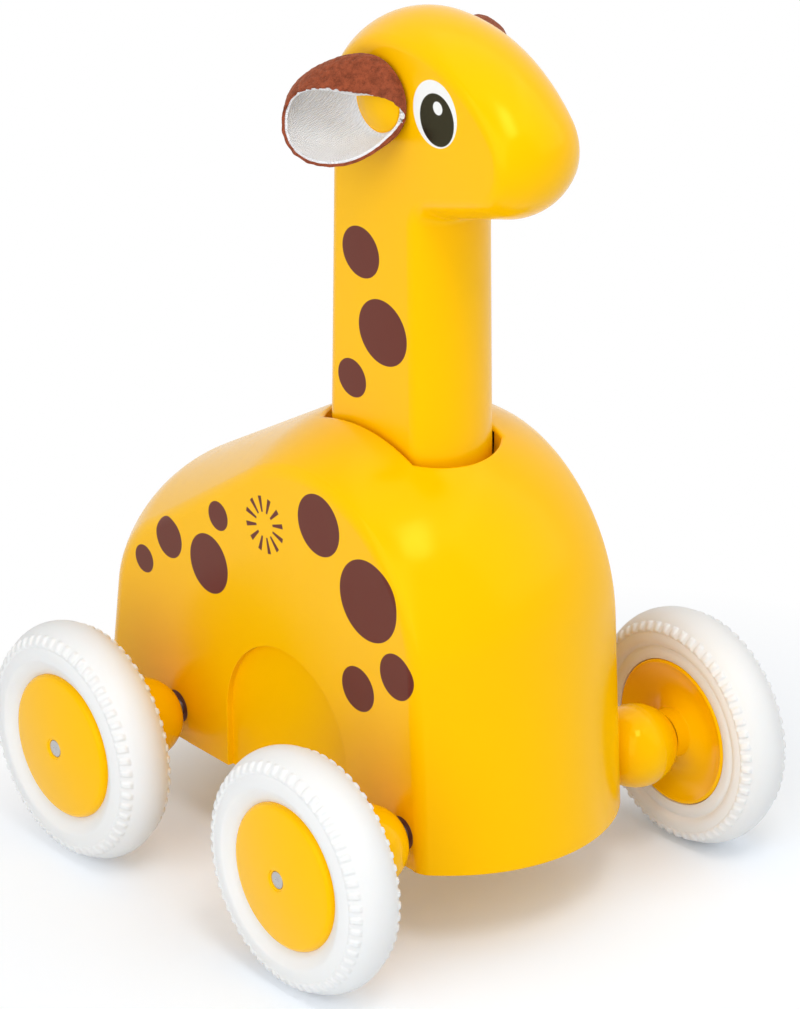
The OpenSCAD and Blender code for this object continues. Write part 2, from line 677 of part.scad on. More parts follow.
// Foot under the neck: it stops against the well, presses the spring and carries the rack
module plunger_rack() color(nylon) difference() {
    pitch = PI * gear_m;
    half_tooth = pitch / 4 - tooth_slack / 2;
    lean = tan(gear_angle);
    first = ceil((rack_bottom + 2 * half_tooth - pinion_z) / pitch - 0.5);
    last = floor((rack_top - 2 * half_tooth - pinion_z) / pitch - 0.5);
    union() {
        translate([-foot_w / 2, foot_front, foot_bottom]) cube([foot_w, foot_back - foot_front, foot_h]);
        translate([-rack_w / 2, foot_back - over, foot_bottom])
            cube([rack_w, rack_y - tooth_root - foot_back + over, foot_h]);
        translate([-rack_w / 2, rack_y - tooth_root - rack_back, rack_bottom])
            cube([rack_w, rack_back, rack_top - rack_bottom]);
        for (k = [first:last]) side_view(-rack_w / 2, rack_y, pinion_z + (k + 0.5) * pitch)
            linear_extrude(rack_w) polygon([
                [-tooth_root - tiny, -half_tooth - tooth_root * lean],
                [tooth_tip, -half_tooth + tooth_tip * lean],
                [tooth_tip, half_tooth - tooth_tip * lean],
                [-tooth_root - tiny, half_tooth + tooth_root * lean]]);
        translate([0, spring_y, foot_bottom - spigot_h]) cylinder(h = spigot_h + tiny, r = spigot_r);
    }
    for (y = plunger_screw_ys) screw_hole(0, y, foot_bottom, foot_h);
}

module plunger_screws() color(steel) for (y = plunger_screw_ys)
    screw(0, y, foot_bottom, foot_h + screw_depth);

// Ear: a felt disc pinned near its front edge and curled into a cup, with a hole for its peg
function ear_ring(k, a) = k == 0 ? [ear_hole_r, 0] : k == 1 ? [ring_at(ear_flat_r, a), 0]
    : k == 2 ? [ring_at(ear_mid_r, a), ring_at(ear_mid_out, a)]
    : [ring_at(ear_rim_r, a), ring_at(ear_rim_out, a)];
function ear_normal(k, a) = let (d = ear_ring(min(k + 1, 3), a) - ear_ring(max(k - 1, 0), a))
    [-d[1], d[0]] / norm(d);
// Index of a point of the felt: its layer, its ring and its place round the ring
function ear_at(layer, k, i) = (layer * 4 + k) * ear_steps + i % ear_steps;
// The two triangles of a four-cornered face, and the same face turned round
function split(q) = [[q[0], q[1], q[2]], [q[0], q[2], q[3]]];
function turned(q) = [q[3], q[2], q[1], q[0]];

module ear(side) color([0.55, 0.28, 0.18]) on_side(side) {
    n = ear_steps;
    points = [for (layer = [0, 1], k = [0:3], i = [0:n - 1])
        let (a = 360 * i / n, p = ear_ring(k, a) + layer * ear_t * ear_normal(k, a))
        [neck_half + seat_gap + p[1], ear_y + p[0] * cos(a), ear_z + p[0] * sin(a)]];
    faces = [for (layer = [0, 1], k = [0:2], i = [0:n - 1])
        let (next = k + 1, q = [ear_at(layer, k, i), ear_at(layer, k, i + 1),
            ear_at(layer, next, i + 1), ear_at(layer, next, i)])
        each split(layer == 0 ? q : turned(q))];
    rims = [for (k = [0, 3], i = [0:n - 1])
        let (q = [ear_at(0, k, i), ear_at(0, k, i + 1), ear_at(1, k, i + 1), ear_at(1, k, i)])
        each split(k == 0 ? turned(q) : q)];
    polyhedron(points, concat(faces, rims));
}

module ear_left() ear(left);
module ear_right() ear(right);

// Peg that pins an ear to the side of the head
module ear_peg(side) color(yellow) on_side(side) side_view(neck_half, ear_y, ear_z) {
    head_x = ear_t + 2 * seat_gap;
    translate([0, 0, -peg_depth]) cylinder(h = peg_depth + head_x + tiny, r = peg_r);
    translate([0, 0, head_x]) intersection() {
        cylinder(h = peg_head_w, r = peg_head_r);
        translate([0, 0, peg_head_w - peg_dome_r]) sphere(r = peg_dome_r);
    }
}

module ear_peg_left() ear_peg(left);
module ear_peg_right() ear_peg(right);

module axle(y) color(steel) side_view(-axle_end_x, y, axle_z) cylinder(h = 2 * axle_end_x, r = axle_r);

module rear_axle() axle(rear_axle_y);
module front_axle() axle(front_axle_y);

// Place of a hub's seat for its ball, from the middle of the wheel, at a radius r
function seat_x(r) = sqrt(ball_r * ball_r - r * r) + seat_gap - ball_to_wheel;

// Hub: a domed disc outside, a dished face with a seat for the ball inside
module hub(side, y) color(yellow) on_side(side) side_view(wheel_x, y, axle_z) rotate_extrude() {
    out = hub_w / 2;
    seat_r = 0.585 * ball_r;
    seat_in = seat_r - 0.9;
    boss_x = 0.5 - out;
    dish_x = hub_dish - out;
    dish_r = (seat_r + rim_r) / 2;
    lip = 0.6;
    edge = 1.2;
    recess_r = axle_r + 0.4;
    recess_x = hub_face - pin_recess - tiny;
    steps = 5;
    polygon(concat(
        [[axle_r + tiny, boss_x], [seat_in, boss_x], [seat_in, seat_x(seat_in)], [seat_r, seat_x(seat_r)],
            [seat_r, boss_x], [dish_r, dish_x], [rim_r - 2 * lip, (dish_x - out) / 2], [rim_r - lip, -out],
            [rim_r - lip / 2, -out], [rim_r, lip / 2 - out], [rim_r, rim_w - out - rim_step],
            [hub_r, rim_w - out]],
        [for (a = [0:22.5:90]) [hub_r - edge + edge * cos(a), out - edge + edge * sin(a)]],
        [for (k = [1:steps]) let (t = 1 - k / steps)
            [recess_r + (hub_r - edge - recess_r) * t, out + hub_dome * (1 - t * t)]],
        [[recess_r, recess_x], [axle_r + tiny, recess_x]]));
}

module rear_hub_left() hub(left, rear_axle_y);
module rear_hub_right() hub(right, rear_axle_y);
module front_hub_left() hub(left, front_axle_y);
module front_hub_right() hub(right, front_axle_y);

// Row of tread teeth with flat tops, half sunk in the tyre's shoulder
module tread_row(x, shoulder_r, inner_r) {
    turn = 360 / tread_n;
    top = 0.17;
    foot = 0.36;
    valley_r = shoulder_r - tread_h / 2;
    top_r = shoulder_r + tread_h / 2;
    tooth = [[-foot, valley_r], [-top, top_r], [top, top_r], [foot, valley_r]];
    translate([0, 0, x - tread_w / 2]) linear_extrude(tread_w) difference() {
        polygon([for (i = [0:tread_n - 1], p = tooth) let (a = (i + p[0]) * turn) p[1] * [cos(a), sin(a)]]);
        circle(inner_r);
    }
}

// Tyre: a round ring on the hub, with a row of tread teeth at each shoulder and an outer lip that dips in
module tyre(side, y) color(white) on_side(side) side_view(wheel_x, y, axle_z) {
    half = tyre_w / 2;
    bulge_r = hub_r + 0.36 * (tyre_r - hub_r);
    rise = tyre_r - bulge_r;
    dip = 0.4;
    step = 10;
    tread_x = half - tread_in;
    shoulder_r = bulge_r + rise * sqrt(1 - pow(tread_x / half, 2));
    rotate_extrude() difference() {
        polygon([for (a = [0:step:360 - step]) let (low = cos(a) > 0 ? dip * min(sin(a), 0) : 0)
            [bulge_r + rise * sin(a), half * cos(a) * (1 + low)]]);
        translate([0, -half]) square([hub_r + run_gap, tyre_w]);
        translate([0, -half - over]) square([rim_r + seat_gap, half - hub_w / 2 + rim_w + seat_gap + over]);
    }
    for (s = [-1, 1]) tread_row(s * tread_x, shoulder_r, bulge_r);
}

module rear_tyre_left() tyre(left, rear_axle_y);
module rear_tyre_right() tyre(right, rear_axle_y);
module front_tyre_left() tyre(left, front_axle_y);
module front_tyre_right() tyre(right, front_axle_y);

// Ball that keeps a wheel away from the body
module ball(side, y) color(yellow) on_side(side) side_view(ball_x, y, axle_z) rotate_extrude()
    intersection() {
        circle(ball_r);
        translate([ball_bore_r, -ball_r]) square([ball_r, 2 * ball_r]);
    }

module rear_ball_left() ball(left, rear_axle_y);
module rear_ball_right() ball(right, rear_axle_y);
module front_ball_left() ball(left, front_axle_y);
module front_ball_right() ball(right, front_axle_y);

body_shell();
base_plate();
base_screws();
gear_frame_left();
gear_frame_right();
frame_screws();
pinion_pin();
idler_pin();
return_spring();
front_bush_left();
front_bush_right();
rear_bush_left();
rear_bush_right();
neck_head();
plunger_rack();
plunger_screws();
ear_left();
ear_right();
ear_peg_left();
ear_peg_right();
compound_gear();
idler_gear();
drive_gear();
rear_axle();
clutch_hub();
rear_hub_left();
rear_hub_right();
rear_tyre_left();
rear_tyre_right();
rear_ball_left();
rear_ball_right();
front_axle();
front_hub_left();
front_hub_right();
front_tyre_left();
front_tyre_right();
front_ball_left();
front_ball_right();
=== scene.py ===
import json
import math
from itertools import accumulate

import bmesh
import bpy
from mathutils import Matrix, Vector, noise


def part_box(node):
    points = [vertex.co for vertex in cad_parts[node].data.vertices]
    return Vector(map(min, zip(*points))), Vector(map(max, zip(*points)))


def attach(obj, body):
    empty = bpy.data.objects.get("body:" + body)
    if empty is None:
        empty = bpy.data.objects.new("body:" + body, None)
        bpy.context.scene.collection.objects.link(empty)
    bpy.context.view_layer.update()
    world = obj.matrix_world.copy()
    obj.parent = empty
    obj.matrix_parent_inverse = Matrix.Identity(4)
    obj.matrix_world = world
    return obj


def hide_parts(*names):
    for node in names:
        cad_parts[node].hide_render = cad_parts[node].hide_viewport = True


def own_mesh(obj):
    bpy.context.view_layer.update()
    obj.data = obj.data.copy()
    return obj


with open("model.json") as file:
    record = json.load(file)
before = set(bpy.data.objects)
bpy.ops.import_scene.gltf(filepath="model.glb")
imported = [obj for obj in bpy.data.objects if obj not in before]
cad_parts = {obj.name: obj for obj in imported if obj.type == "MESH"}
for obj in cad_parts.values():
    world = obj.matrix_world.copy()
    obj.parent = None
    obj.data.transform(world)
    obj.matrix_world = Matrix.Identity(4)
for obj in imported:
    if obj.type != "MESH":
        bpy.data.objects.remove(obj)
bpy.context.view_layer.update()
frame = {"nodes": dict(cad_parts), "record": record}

mm = 0.001
touch = 0.002  # points closer than this are taken as one, in mm
sides = {"left": 1, "right": -1}  # the giraffe's left is +x
axleNodes = {"front": "front_axle", "rear": "rear_axle"}


# places that the frame gives, in millimetres
def middle(node):
    low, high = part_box(node)
    return (low + high) / 2 / mm


def top(node):
    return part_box(node)[1] / mm


def bottom(node):
    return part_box(node)[0] / mm


axleY = {end: middle(node).y for end, node in axleNodes.items()}
axleZ = middle("front_axle").z
midY = (axleY["front"] + axleY["rear"]) / 2
print("wheelbase", round(axleY["rear"] - axleY["front"], 2), "mm, middle at y", round(midY, 2))


# hand tools
def deselectAll():
    if bpy.context.mode != "OBJECT":
        bpy.ops.object.mode_set(mode="OBJECT")
    bpy.ops.object.select_all(action="DESELECT")


def pickOnly(piece):
    deselectAll()
    piece.select_set(True)
    bpy.context.view_layer.objects.active = piece


def nameNew(name):
    piece = bpy.context.active_object
    piece.name = name
    piece.data.name = name
    return piece


def applyModifier(piece, kind, **settings):
    pickOnly(piece)
    modifier = piece.modifiers.new(kind.title(), kind)
    for key, value in settings.items():
        setattr(modifier, key, value)
    bpy.ops.object.modifier_apply(modifier=modifier.name)


def carve(piece, tool, operation="DIFFERENCE"):
    applyModifier(piece, "BOOLEAN", object=tool, operation=operation, solver="MANIFOLD")
    bpy.data.meshes.remove(tool.data)


def smoothByAngle(piece, degrees):
    pickOnly(piece)
    bpy.ops.object.shade_smooth_by_angle(angle=math.radians(degrees))


def closeUp(piece, isFilled=True):
    # merges the seam, fills what is still open if wanted and turns the faces outwards
    pickOnly(piece)
    bpy.ops.object.mode_set(mode="EDIT")
    bpy.ops.mesh.select_all(action="SELECT")
    bpy.ops.mesh.remove_doubles(threshold=touch * mm)
    if isFilled:
        bpy.ops.mesh.select_all(action="DESELECT")
        bpy.ops.mesh.select_non_manifold(extend=False, use_boundary=True, use_wire=False,
                                         use_multi_face=False, use_non_contiguous=False, use_verts=False)
        bpy.ops.mesh.fill_holes(sides=0)
        bpy.ops.mesh.select_all(action="SELECT")
    bpy.ops.mesh.normals_make_consistent(inside=False)
    bpy.ops.object.mode_set(mode="OBJECT")


def gridPiece(name, across, along, place):
    # a grid whose points go where place says, from their column and row
    deselectAll()
    bpy.ops.mesh.primitive_grid_add(x_subdivisions=across, y_subdivisions=along, size=2)
    piece = nameNew(name)
    for point in piece.data.vertices:
        column = round((point.co.x + 1) / 2 * across)
        row = round((point.co.y + 1) / 2 * along)
        point.co = Vector(place(column, row)) * mm
    return piece


def tubePiece(name, rings):
    # a closed solid through rings of equally many points
    count = len(rings[0])
    piece = gridPiece(name, count, len(rings) - 1, lambda i, k: rings[k][i % count])
    closeUp(piece)
    return piece


def turnedPiece(name, profile, steps, isClosed=True):
    # spins an outline of (radius, x) points about the x axis
    deselectAll()
    bpy.ops.mesh.primitive_circle_add(vertices=len(profile), radius=mm)
    piece = nameNew(name)
    for point, (radius, x) in zip(piece.data.vertices, profile):
        point.co = Vector((x, 0, radius)) * mm
    bpy.ops.object.mode_set(mode="EDIT")
    if not isClosed:
        shape = bmesh.from_edit_mesh(piece.data)
        shape.verts.ensure_lookup_table()
        shape.edges.remove(shape.edges.get((shape.verts[0], shape.verts[-1])))
        bmesh.update_edit_mesh(piece.data)
    bpy.ops.mesh.select_all(action="SELECT")
    bpy.ops.mesh.spin(steps=steps, angle=2 * math.pi, center=(0, 0, 0), axis=(1, 0, 0))
    closeUp(piece)
    return piece


def selectEdges(piece, isWanted):
    # leaves the piece in edit mode
    pickOnly(piece)
    bpy.ops.object.mode_set(mode="EDIT")
    bpy.ops.mesh.select_mode(type="EDGE")
    bpy.ops.mesh.select_all(action="DESELECT")
    shape = bmesh.from_edit_mesh(piece.data)
    for edge in shape.edges:
        edge.select_set(isWanted(edge))
    bmesh.update_edit_mesh(piece.data)


def roundEdges(piece, width, segments, isWanted):
    selectEdges(piece, lambda edge: len(edge.link_faces) == 2 and isWanted(edge))
    bpy.ops.mesh.bevel(offset=width * mm, segments=segments, affect="EDGES", clamp_overlap=False)
    bpy.ops.object.mode_set(mode="OBJECT")


def copyTo(source, name, place, isMirrored=False):
    # a copy with a mesh of its own, moved into place and mirrored across x if wanted
    pickOnly(source)
    bpy.ops.object.duplicate(linked=False)
    piece = nameNew(name)
    piece.scale = (-1 if isMirrored else 1, 1, 1)
    piece.location = Vector(place) * mm
    bpy.ops.object.transform_apply(location=True, rotation=True, scale=True)
    if isMirrored:
        bpy.ops.object.mode_set(mode="EDIT")
        bpy.ops.mesh.select_all(action="SELECT")
        bpy.ops.mesh.normals_make_consistent(inside=False)
        bpy.ops.object.mode_set(mode="OBJECT")
    return piece


def turnedPin(name, profile, steps, finish, place, isMirrored=False):
    # a solid pin, turned about the x axis and moved into place
    turned = turnedPiece("turnedPin", profile, steps, isClosed=False)
    smoothByAngle(turned, 35)
    paint(turned, finish)
    piece = copyTo(turned, name, place, isMirrored)
    bpy.data.meshes.remove(turned.data)
    return piece


def setIn(piece, body, slot, *nodes):
    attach(piece, body)
    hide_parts(*nodes)


def paint(piece, *materials):
    piece.data.materials.clear()
    for material in materials:
        piece.data.materials.append(material)


# node tools for the finishes
def newFinish(name):
    material = bpy.data.materials.new(name)
    material.use_nodes = True
    tree = material.node_tree
    coords = tree.nodes.new("ShaderNodeTexCoord")
    return material, tree, tree.nodes["Principled BSDF"], coords.outputs["Object"]


def plug(tree, socket, value):
    if isinstance(value, bpy.types.NodeSocket):
        tree.links.new(value, socket)
    else:
        socket.default_value = value


def setSockets(tree, node, values):
    for name, value in values.items():
        plug(tree, node.inputs[name], value)


def addNode(tree, kind, *values):
    node = tree.nodes.new("ShaderNode" + kind)
    for socket, value in zip(node.inputs, values):
        plug(tree, socket, value)
    return node


def calc(tree, operation, *values):
    node = addNode(tree, "Math", *values)
    node.operation = operation
    return node.outputs[0]


def vectorCalc(tree, operation, *values, output="Vector"):
    node = addNode(tree, "VectorMath", *values)
    node.operation = operation
    return node.outputs[output]


def ramp(tree, value, fromLow, fromHigh, toLow=0.0, toHigh=1.0):
    return addNode(tree, "MapRange", value, fromLow, fromHigh, toLow, toHigh).outputs[0]


def grain(tree, coords, scale, detail=3.0, roughness=0.5):
    node = addNode(tree, "TexNoise")
    setSockets(tree, node, {"Vector": coords, "Scale": scale, "Detail": detail, "Roughness": roughness})
    return node.outputs["Fac"]


def mixColours(tree, factor, first, second):
    node = addNode(tree, "Mix")
    node.data_type = "RGBA"
    setSockets(tree, node, {"Factor": factor, "A": first, "B": second})
    return node.outputs["Result"]


def bump(tree, shader, height, strength, depth):
    node = addNode(tree, "Bump")
    setSockets(tree, node, {"Strength": strength, "Distance": depth * mm, "Height": height})
    tree.links.new(node.outputs["Normal"], shader.inputs["Normal"])


def shade(colour, factor):
    return (*[channel * factor for channel in colour[:3]], 1)


def mottled(tree, factor, colour, dark):
    return mixColours(tree, factor, shade(colour, dark), colour)


noiseSpan = (0.3, 0.7)  # most of a noise lies between these
displayGamma = 2.2  # the record's colours are as displayed


def drifting(tree, cloud, middleValue, spread):
    # a value that wanders about its middle with a noise
    return ramp(tree, cloud, *noiseSpan, middleValue - spread, middleValue + spread)


# colours of the toy, as scene-linear light
colours = {
    "yellow": (1.0, 0.53, 0.0, 1),
    "spotBrown": (0.125, 0.016, 0.021, 1),
    "eyeWhite": (0.88, 0.88, 0.87, 1),
    "eyeBlack": (0.004, 0.004, 0.004, 1),
    "tyreWhite": (0.83, 0.828, 0.815, 1),
    "suede": (0.27, 0.062, 0.026, 1),
    "twill": (0.94, 0.945, 0.96, 1),
    "steel": (0.62, 0.62, 0.63, 1),
    "nylon": (0.84, 0.83, 0.78, 1),
    "bushBrown": (0.17, 0.05, 0.022, 1),
}

# prints on the flat sides: (y from the middle of the wheelbase, z, half width, half height) in mm
bodyPrints = {
    "spots": [(41.1, 48.4, 2.7, 2.65), (33.5, 55.2, 3.8, 3.9), (21.7, 54.2, 5.5, 5.6),
              (18.8, 64.4, 2.8, 2.75), (-9.8, 72.4, 5.75, 5.65), (-23.3, 62.9, 7.7, 7.4),
              (-20.5, 45.3, 4.4, 4.1), (-30.9, 51.4, 4.4, 4.2)],
    "rayCentre": (5.4, 67.3), "rays": 12, "rayIn": 2.35, "rayOut": 5.3, "rayTurn": 15, "rayHalf": 5.2,
}
neckPrints = {
    "spots": [(-4.2, 117.5, 5.0, 4.6), (-10.1, 104.5, 6.5, 5.9), (-1.7, 93.6, 3.85, 3.5)],
    "eyeWhite": (-23.9, 147.6, 5.65, 5.8), "pupil": (-24.4, 146.7, 4.4, 4.55),
    "shine": (-24.6, 148.8, 1.2, 1.15),
}
printEdge = 0.06  # softness of a printed edge, in mm


def ovalMask(tree, coords, oval):
    y, z, halfY, halfZ = oval
    stretch = (0, 1 / (halfY * mm), 1 / (halfZ * mm))
    shift = (0, -(y + midY) / halfY, -z / halfZ)
    spread = vectorCalc(tree, "MULTIPLY_ADD", coords, stretch, shift)
    far = vectorCalc(tree, "LENGTH", spread, output="Value")
    soft = printEdge / halfY
    return ramp(tree, far, 1 + soft, 1 - soft)


def allOvals(tree, coords, ovals):
    mask = ovalMask(tree, coords, ovals[0])
    for oval in ovals[1:]:
        mask = calc(tree, "MAXIMUM", mask, ovalMask(tree, coords, oval))
    return mask


def rayMask(tree, coords, prints):
    y, z = prints["rayCentre"]
    fromCentre = vectorCalc(tree, "MULTIPLY_ADD", coords, (0, 1, 1), (0, -(y + midY) * mm, -z * mm))
    far = vectorCalc(tree, "LENGTH", fromCentre, output="Value")
    parts = addNode(tree, "SeparateXYZ", fromCentre)
    angle = calc(tree, "ARCTAN2", parts.outputs["Z"], parts.outputs["Y"])
    turn = calc(tree, "SUBTRACT", angle, math.radians(prints["rayTurn"]))
    pitch = 2 * math.pi / prints["rays"]
    away = calc(tree, "ABSOLUTE", calc(tree, "WRAP", turn, pitch / 2, -pitch / 2))
    width = calc(tree, "MULTIPLY", away, far)
    halfWidth = calc(tree, "MULTIPLY", far, math.radians(prints["rayHalf"]))
    soft, start, end = printEdge * mm, prints["rayIn"] * mm, prints["rayOut"] * mm
    inRay = ramp(tree, calc(tree, "SUBTRACT", width, halfWidth), soft, -soft)
    pastIn = ramp(tree, far, start - soft, start + soft)
    beforeOut = ramp(tree, far, end + soft, end - soft)
    return calc(tree, "MULTIPLY", calc(tree, "MULTIPLY", inRay, pastIn), beforeOut)


# yellow lacquer: a satin skin with a faint orange peel and slow drifts of tone
lacquer = {
    "rough": 0.2, "ballRough": 0.09, "roughSpread": 0.03, "roughScale": 300.0, "inkRough": 0.12,
    "drift": 45.0, "driftDark": 0.97, "inkDark": 0.94,
    "peel": 900.0, "peelBump": (0.03, 0.04),  # strength, and depth in mm
    "sockets": {"Specular IOR Level": 0.36, "Specular Tint": (1, 0.8, 0.1, 1)},
}


def lacquerFinish(name, prints=None, gloss="rough"):
    material, tree, shader, coords = newFinish(name)
    drift = grain(tree, coords, lacquer["drift"], 2)
    tone = mottled(tree, drift, colours["yellow"], lacquer["driftDark"])
    haze = grain(tree, coords, lacquer["roughScale"])
    rough = drifting(tree, haze, lacquer[gloss], lacquer["roughSpread"])
    if prints:
        mask = allOvals(tree, coords, prints["spots"])
        if "rayCentre" in prints:
            mask = calc(tree, "MAXIMUM", mask, rayMask(tree, coords, prints))
        ink = mottled(tree, drift, colours["spotBrown"], lacquer["inkDark"])
        tone = mixColours(tree, mask, tone, ink)
        rough = calc(tree, "MULTIPLY_ADD", mask, lacquer["inkRough"], rough)
        for key in ("eyeWhite", "pupil", "shine"):
            if key in prints:
                eyeInk = colours["eyeBlack"] if key == "pupil" else colours["eyeWhite"]
                tone = mixColours(tree, ovalMask(tree, coords, prints[key]), tone, eyeInk)
    setSockets(tree, shader, {"Base Color": tone, "Roughness": rough, **lacquer["sockets"]})
    bump(tree, shader, grain(tree, coords, lacquer["peel"], 2), *lacquer["peelBump"])
    return material


# soft white tyre rubber: matt, a little dusty in its hollows
rubber = {
    "rough": 0.5, "roughSpread": 0.05, "cloud": 120.0, "cloudDark": 0.965, "speckle": 2200.0,
    "speckleBump": (0.06, 0.04),
    "sockets": {"Specular IOR Level": 0.35, "Subsurface Weight": 0.15, "Subsurface Scale": 0.5,
                "Subsurface Radius": (0.002, 0.0015, 0.0012)},
}

# plain moulded plastic for the pieces inside
moulded = {
    "rough": 0.45, "bushRough": 0.5, "roughSpread": 0.06, "cloud": 260.0, "cloudDark": 0.88,
    "speckle": 1800.0, "speckleBump": (0.1, 0.03), "sockets": {},
}


def cloudedFinish(name, colour, look, gloss="rough"):
    # rubber and plastic: soft clouds of tone under a fine speckle
    material, tree, shader, coords = newFinish(name)
    cloud = grain(tree, coords, look["cloud"], 4)
    tone = mottled(tree, cloud, colour, look["cloudDark"])
    rough = drifting(tree, cloud, look[gloss], look["roughSpread"])
    setSockets(tree, shader, {"Base Color": tone, "Roughness": rough, **look["sockets"]})
    bump(tree, shader, grain(tree, coords, look["speckle"], 2), *look["speckleBump"])
    return material


# drawn steel: fine scratches that run along the pins
steel = {
    "stretch": (1, 6, 6), "scratch": 700.0, "scratchDark": 0.72, "scratchBump": (0.15, 0.04),
    "rough": 0.335, "roughSpread": 0.085,
}


def steelFinish(name):
    material, tree, shader, coords = newFinish(name)
    drawn = vectorCalc(tree, "MULTIPLY", coords, steel["stretch"])
    scratch = grain(tree, drawn, steel["scratch"], 4, 0.6)
    tone = mottled(tree, scratch, colours["steel"], steel["scratchDark"])
    rough = drifting(tree, scratch, steel["rough"], steel["roughSpread"])
    setSockets(tree, shader, {"Base Color": tone, "Roughness": rough, "Metallic": 1.0})
    bump(tree, shader, scratch, *steel["scratchBump"])
    return material


# brown suede: a short nap that lies in patches, darker where it is brushed
suede = {
    "patch": 900.0, "patchSpan": (0.36, 0.64), "patchDark": 0.55, "patchLight": 1.15,
    "nap": 5200.0, "napSpan": (0.4, 0.75), "napShare": 0.55, "napLight": 1.7,
    "napLift": 0.6, "napBump": (0.9, 0.18),
    "sockets": {"Roughness": 0.92, "Specular IOR Level": 0.15, "Sheen Weight": 0.35,
                "Sheen Roughness": 0.45, "Sheen Tint": (0.9, 0.45, 0.3, 1)},
}


def suedeFinish(name):
    material, tree, shader, coords = newFinish(name)
    shades = [suede[key] for key in ("patchDark", "patchLight", "napLight")]
    dark, light, bright = [shade(colours["suede"], factor) for factor in shades]
    patch = ramp(tree, grain(tree, coords, suede["patch"], 3, 0.6), *suede["patchSpan"])
    nap = grain(tree, coords, suede["nap"], 4, 0.7)
    tone = mixColours(tree, patch, dark, light)
    tone = mixColours(tree, ramp(tree, nap, *suede["napSpan"], 0.0, suede["napShare"]), tone, bright)
    setSockets(tree, shader, {"Base Color": tone, **suede["sockets"]})
    bump(tree, shader, calc(tree, "MULTIPLY_ADD", nap, suede["napLift"], patch), *suede["napBump"])
    return material


# white twill lining: diagonal ribs on the flat cut, crossed by fine threads
twill = {
    "ribAlong": (0.82, 0.57), "ribPitch": 0.62, "threadAlong": (0.26, -0.97), "threadPitch": 0.36,
    "threadShare": 0.6, "weaveSpan": (-1.4, 1.2), "weaveDark": 0.9, "weaveBump": (0.6, 0.12),
    "soil": 240.0, "soilSpan": (0.35, 0.75), "soilShare": 0.2, "soilColour": (0.80, 0.79, 0.77, 1),
    "sockets": {"Roughness": 0.85, "Specular IOR Level": 0.2, "Sheen Weight": 0.2},
}


def threadWave(tree, flatCut, direction, pitch):
    along = vectorCalc(tree, "DOT_PRODUCT", flatCut, (*direction, 0), output="Value")
    return calc(tree, "SINE", calc(tree, "MULTIPLY", along, 2 * math.pi / (pitch * mm)))


def twillFinish(name):
    material, tree, shader, coords = newFinish(name)
    cut = tree.nodes.new("ShaderNodeUVMap")
    cut.uv_map = "flatCut"
    flatCut = cut.outputs["UV"]
    rib = threadWave(tree, flatCut, twill["ribAlong"], twill["ribPitch"])
    thread = threadWave(tree, flatCut, twill["threadAlong"], twill["threadPitch"])
    weave = calc(tree, "MULTIPLY_ADD", thread, twill["threadShare"], rib)
    tone = mottled(tree, ramp(tree, weave, *twill["weaveSpan"]), colours["twill"], twill["weaveDark"])
    soil = ramp(tree, grain(tree, coords, twill["soil"], 4), *twill["soilSpan"], 0.0, twill["soilShare"])
    tone = mixColours(tree, soil, tone, twill["soilColour"])
    setSockets(tree, shader, {"Base Color": tone, **twill["sockets"]})
    bump(tree, shader, weave, *twill["weaveBump"])
    return material


def gearFinish(name, slot):
    # takes its colour from the record, so that gears and record agree
    colour = next(m["base_color"] for m in frame["record"]["materials"] if m["slot"] == slot)
    return cloudedFinish(name, (*[channel ** displayGamma for channel in colour], 1), moulded)


finishes = {
    "body": lacquerFinish("yellowBodyPrinted", bodyPrints),
    "neck": lacquerFinish("yellowNeckPrinted", neckPrints),
    "plain": lacquerFinish("yellowPlain"),
    "ball": lacquerFinish("yellowBall", gloss="ballRough"),
    "tyre": cloudedFinish("whiteTyreRubber", colours["tyreWhite"], rubber),
    "steel": steelFinish("drawnSteel"),
    "nylon": cloudedFinish("naturalNylon", colours["nylon"], moulded),
    "bush": cloudedFinish("darkBush", colours["bushBrown"], moulded, "bushRough"),
    "suede": suedeFinish("brownSuede"),
    "twill": twillFinish("whiteTwill"),
    "red": gearFinish("redGear", "gear_red"),
    "blue": gearFinish("blueGear", "gear_blue"),
    "amber": gearFinish("amberGear", "gear_amber"),
}
print("finishes:", len(finishes))


def spaced(start, end, steps):
    return [start + (end - start) * k / steps for k in range(steps + 1)]


# crowned rolls: the body, neck and head are stretched over them
def crownRadius(half, rise):
    return (half * half + rise * rise) / (2 * rise)


def rollLift(x, half, rise, edge):
    # height of a roll's crowned tread and rounded edge over its nominal radius, at x
    big = crownRadius(half, rise)
    edgeX = half - edge
    if abs(x) <= big * edgeX / (big - edge):
        return math.sqrt(big * big - x * x) - big + rise
    edgeLift = math.sqrt((big - edge) ** 2 - edgeX * edgeX) - big + rise
    return edgeLift + math.sqrt(max(edge * edge - (abs(x) - edgeX) ** 2, 0))


def rollStations(half, rise, edge, treadSteps, edgeSteps):
    # places along x, closer together round the edges
    big = crownRadius(half, rise)
    turn = math.asin((half - edge) / (big - edge))
    out = [big * math.sin(a) for a in spaced(0, turn, treadSteps)]
    out += [half - edge + edge * math.sin(a) for a in spaced(turn, math.pi / 2, edgeSteps)[1:]]
    return [-x for x in reversed(out[1:])] + out


def tangentAngle(first, second):
    # direction of the normal where a band leaves one circle (y, z, radius) for the next
    run, rise = second[0] - first[0], second[1] - first[1]
    far = math.hypot(run, rise)
    return (math.atan2(rise, run) - math.acos((first[2] - second[2]) / far)) % (2 * math.pi)


def arcPoints(centre, radius, start, end, steps):
    # each with the direction of its normal
    return [(centre[0] + radius * math.cos(a), centre[1] + radius * math.sin(a), a)
            for a in spaced(start, end, steps)]


def arcLine(*arc):
    return [point[:2] for point in arcPoints(*arc)]


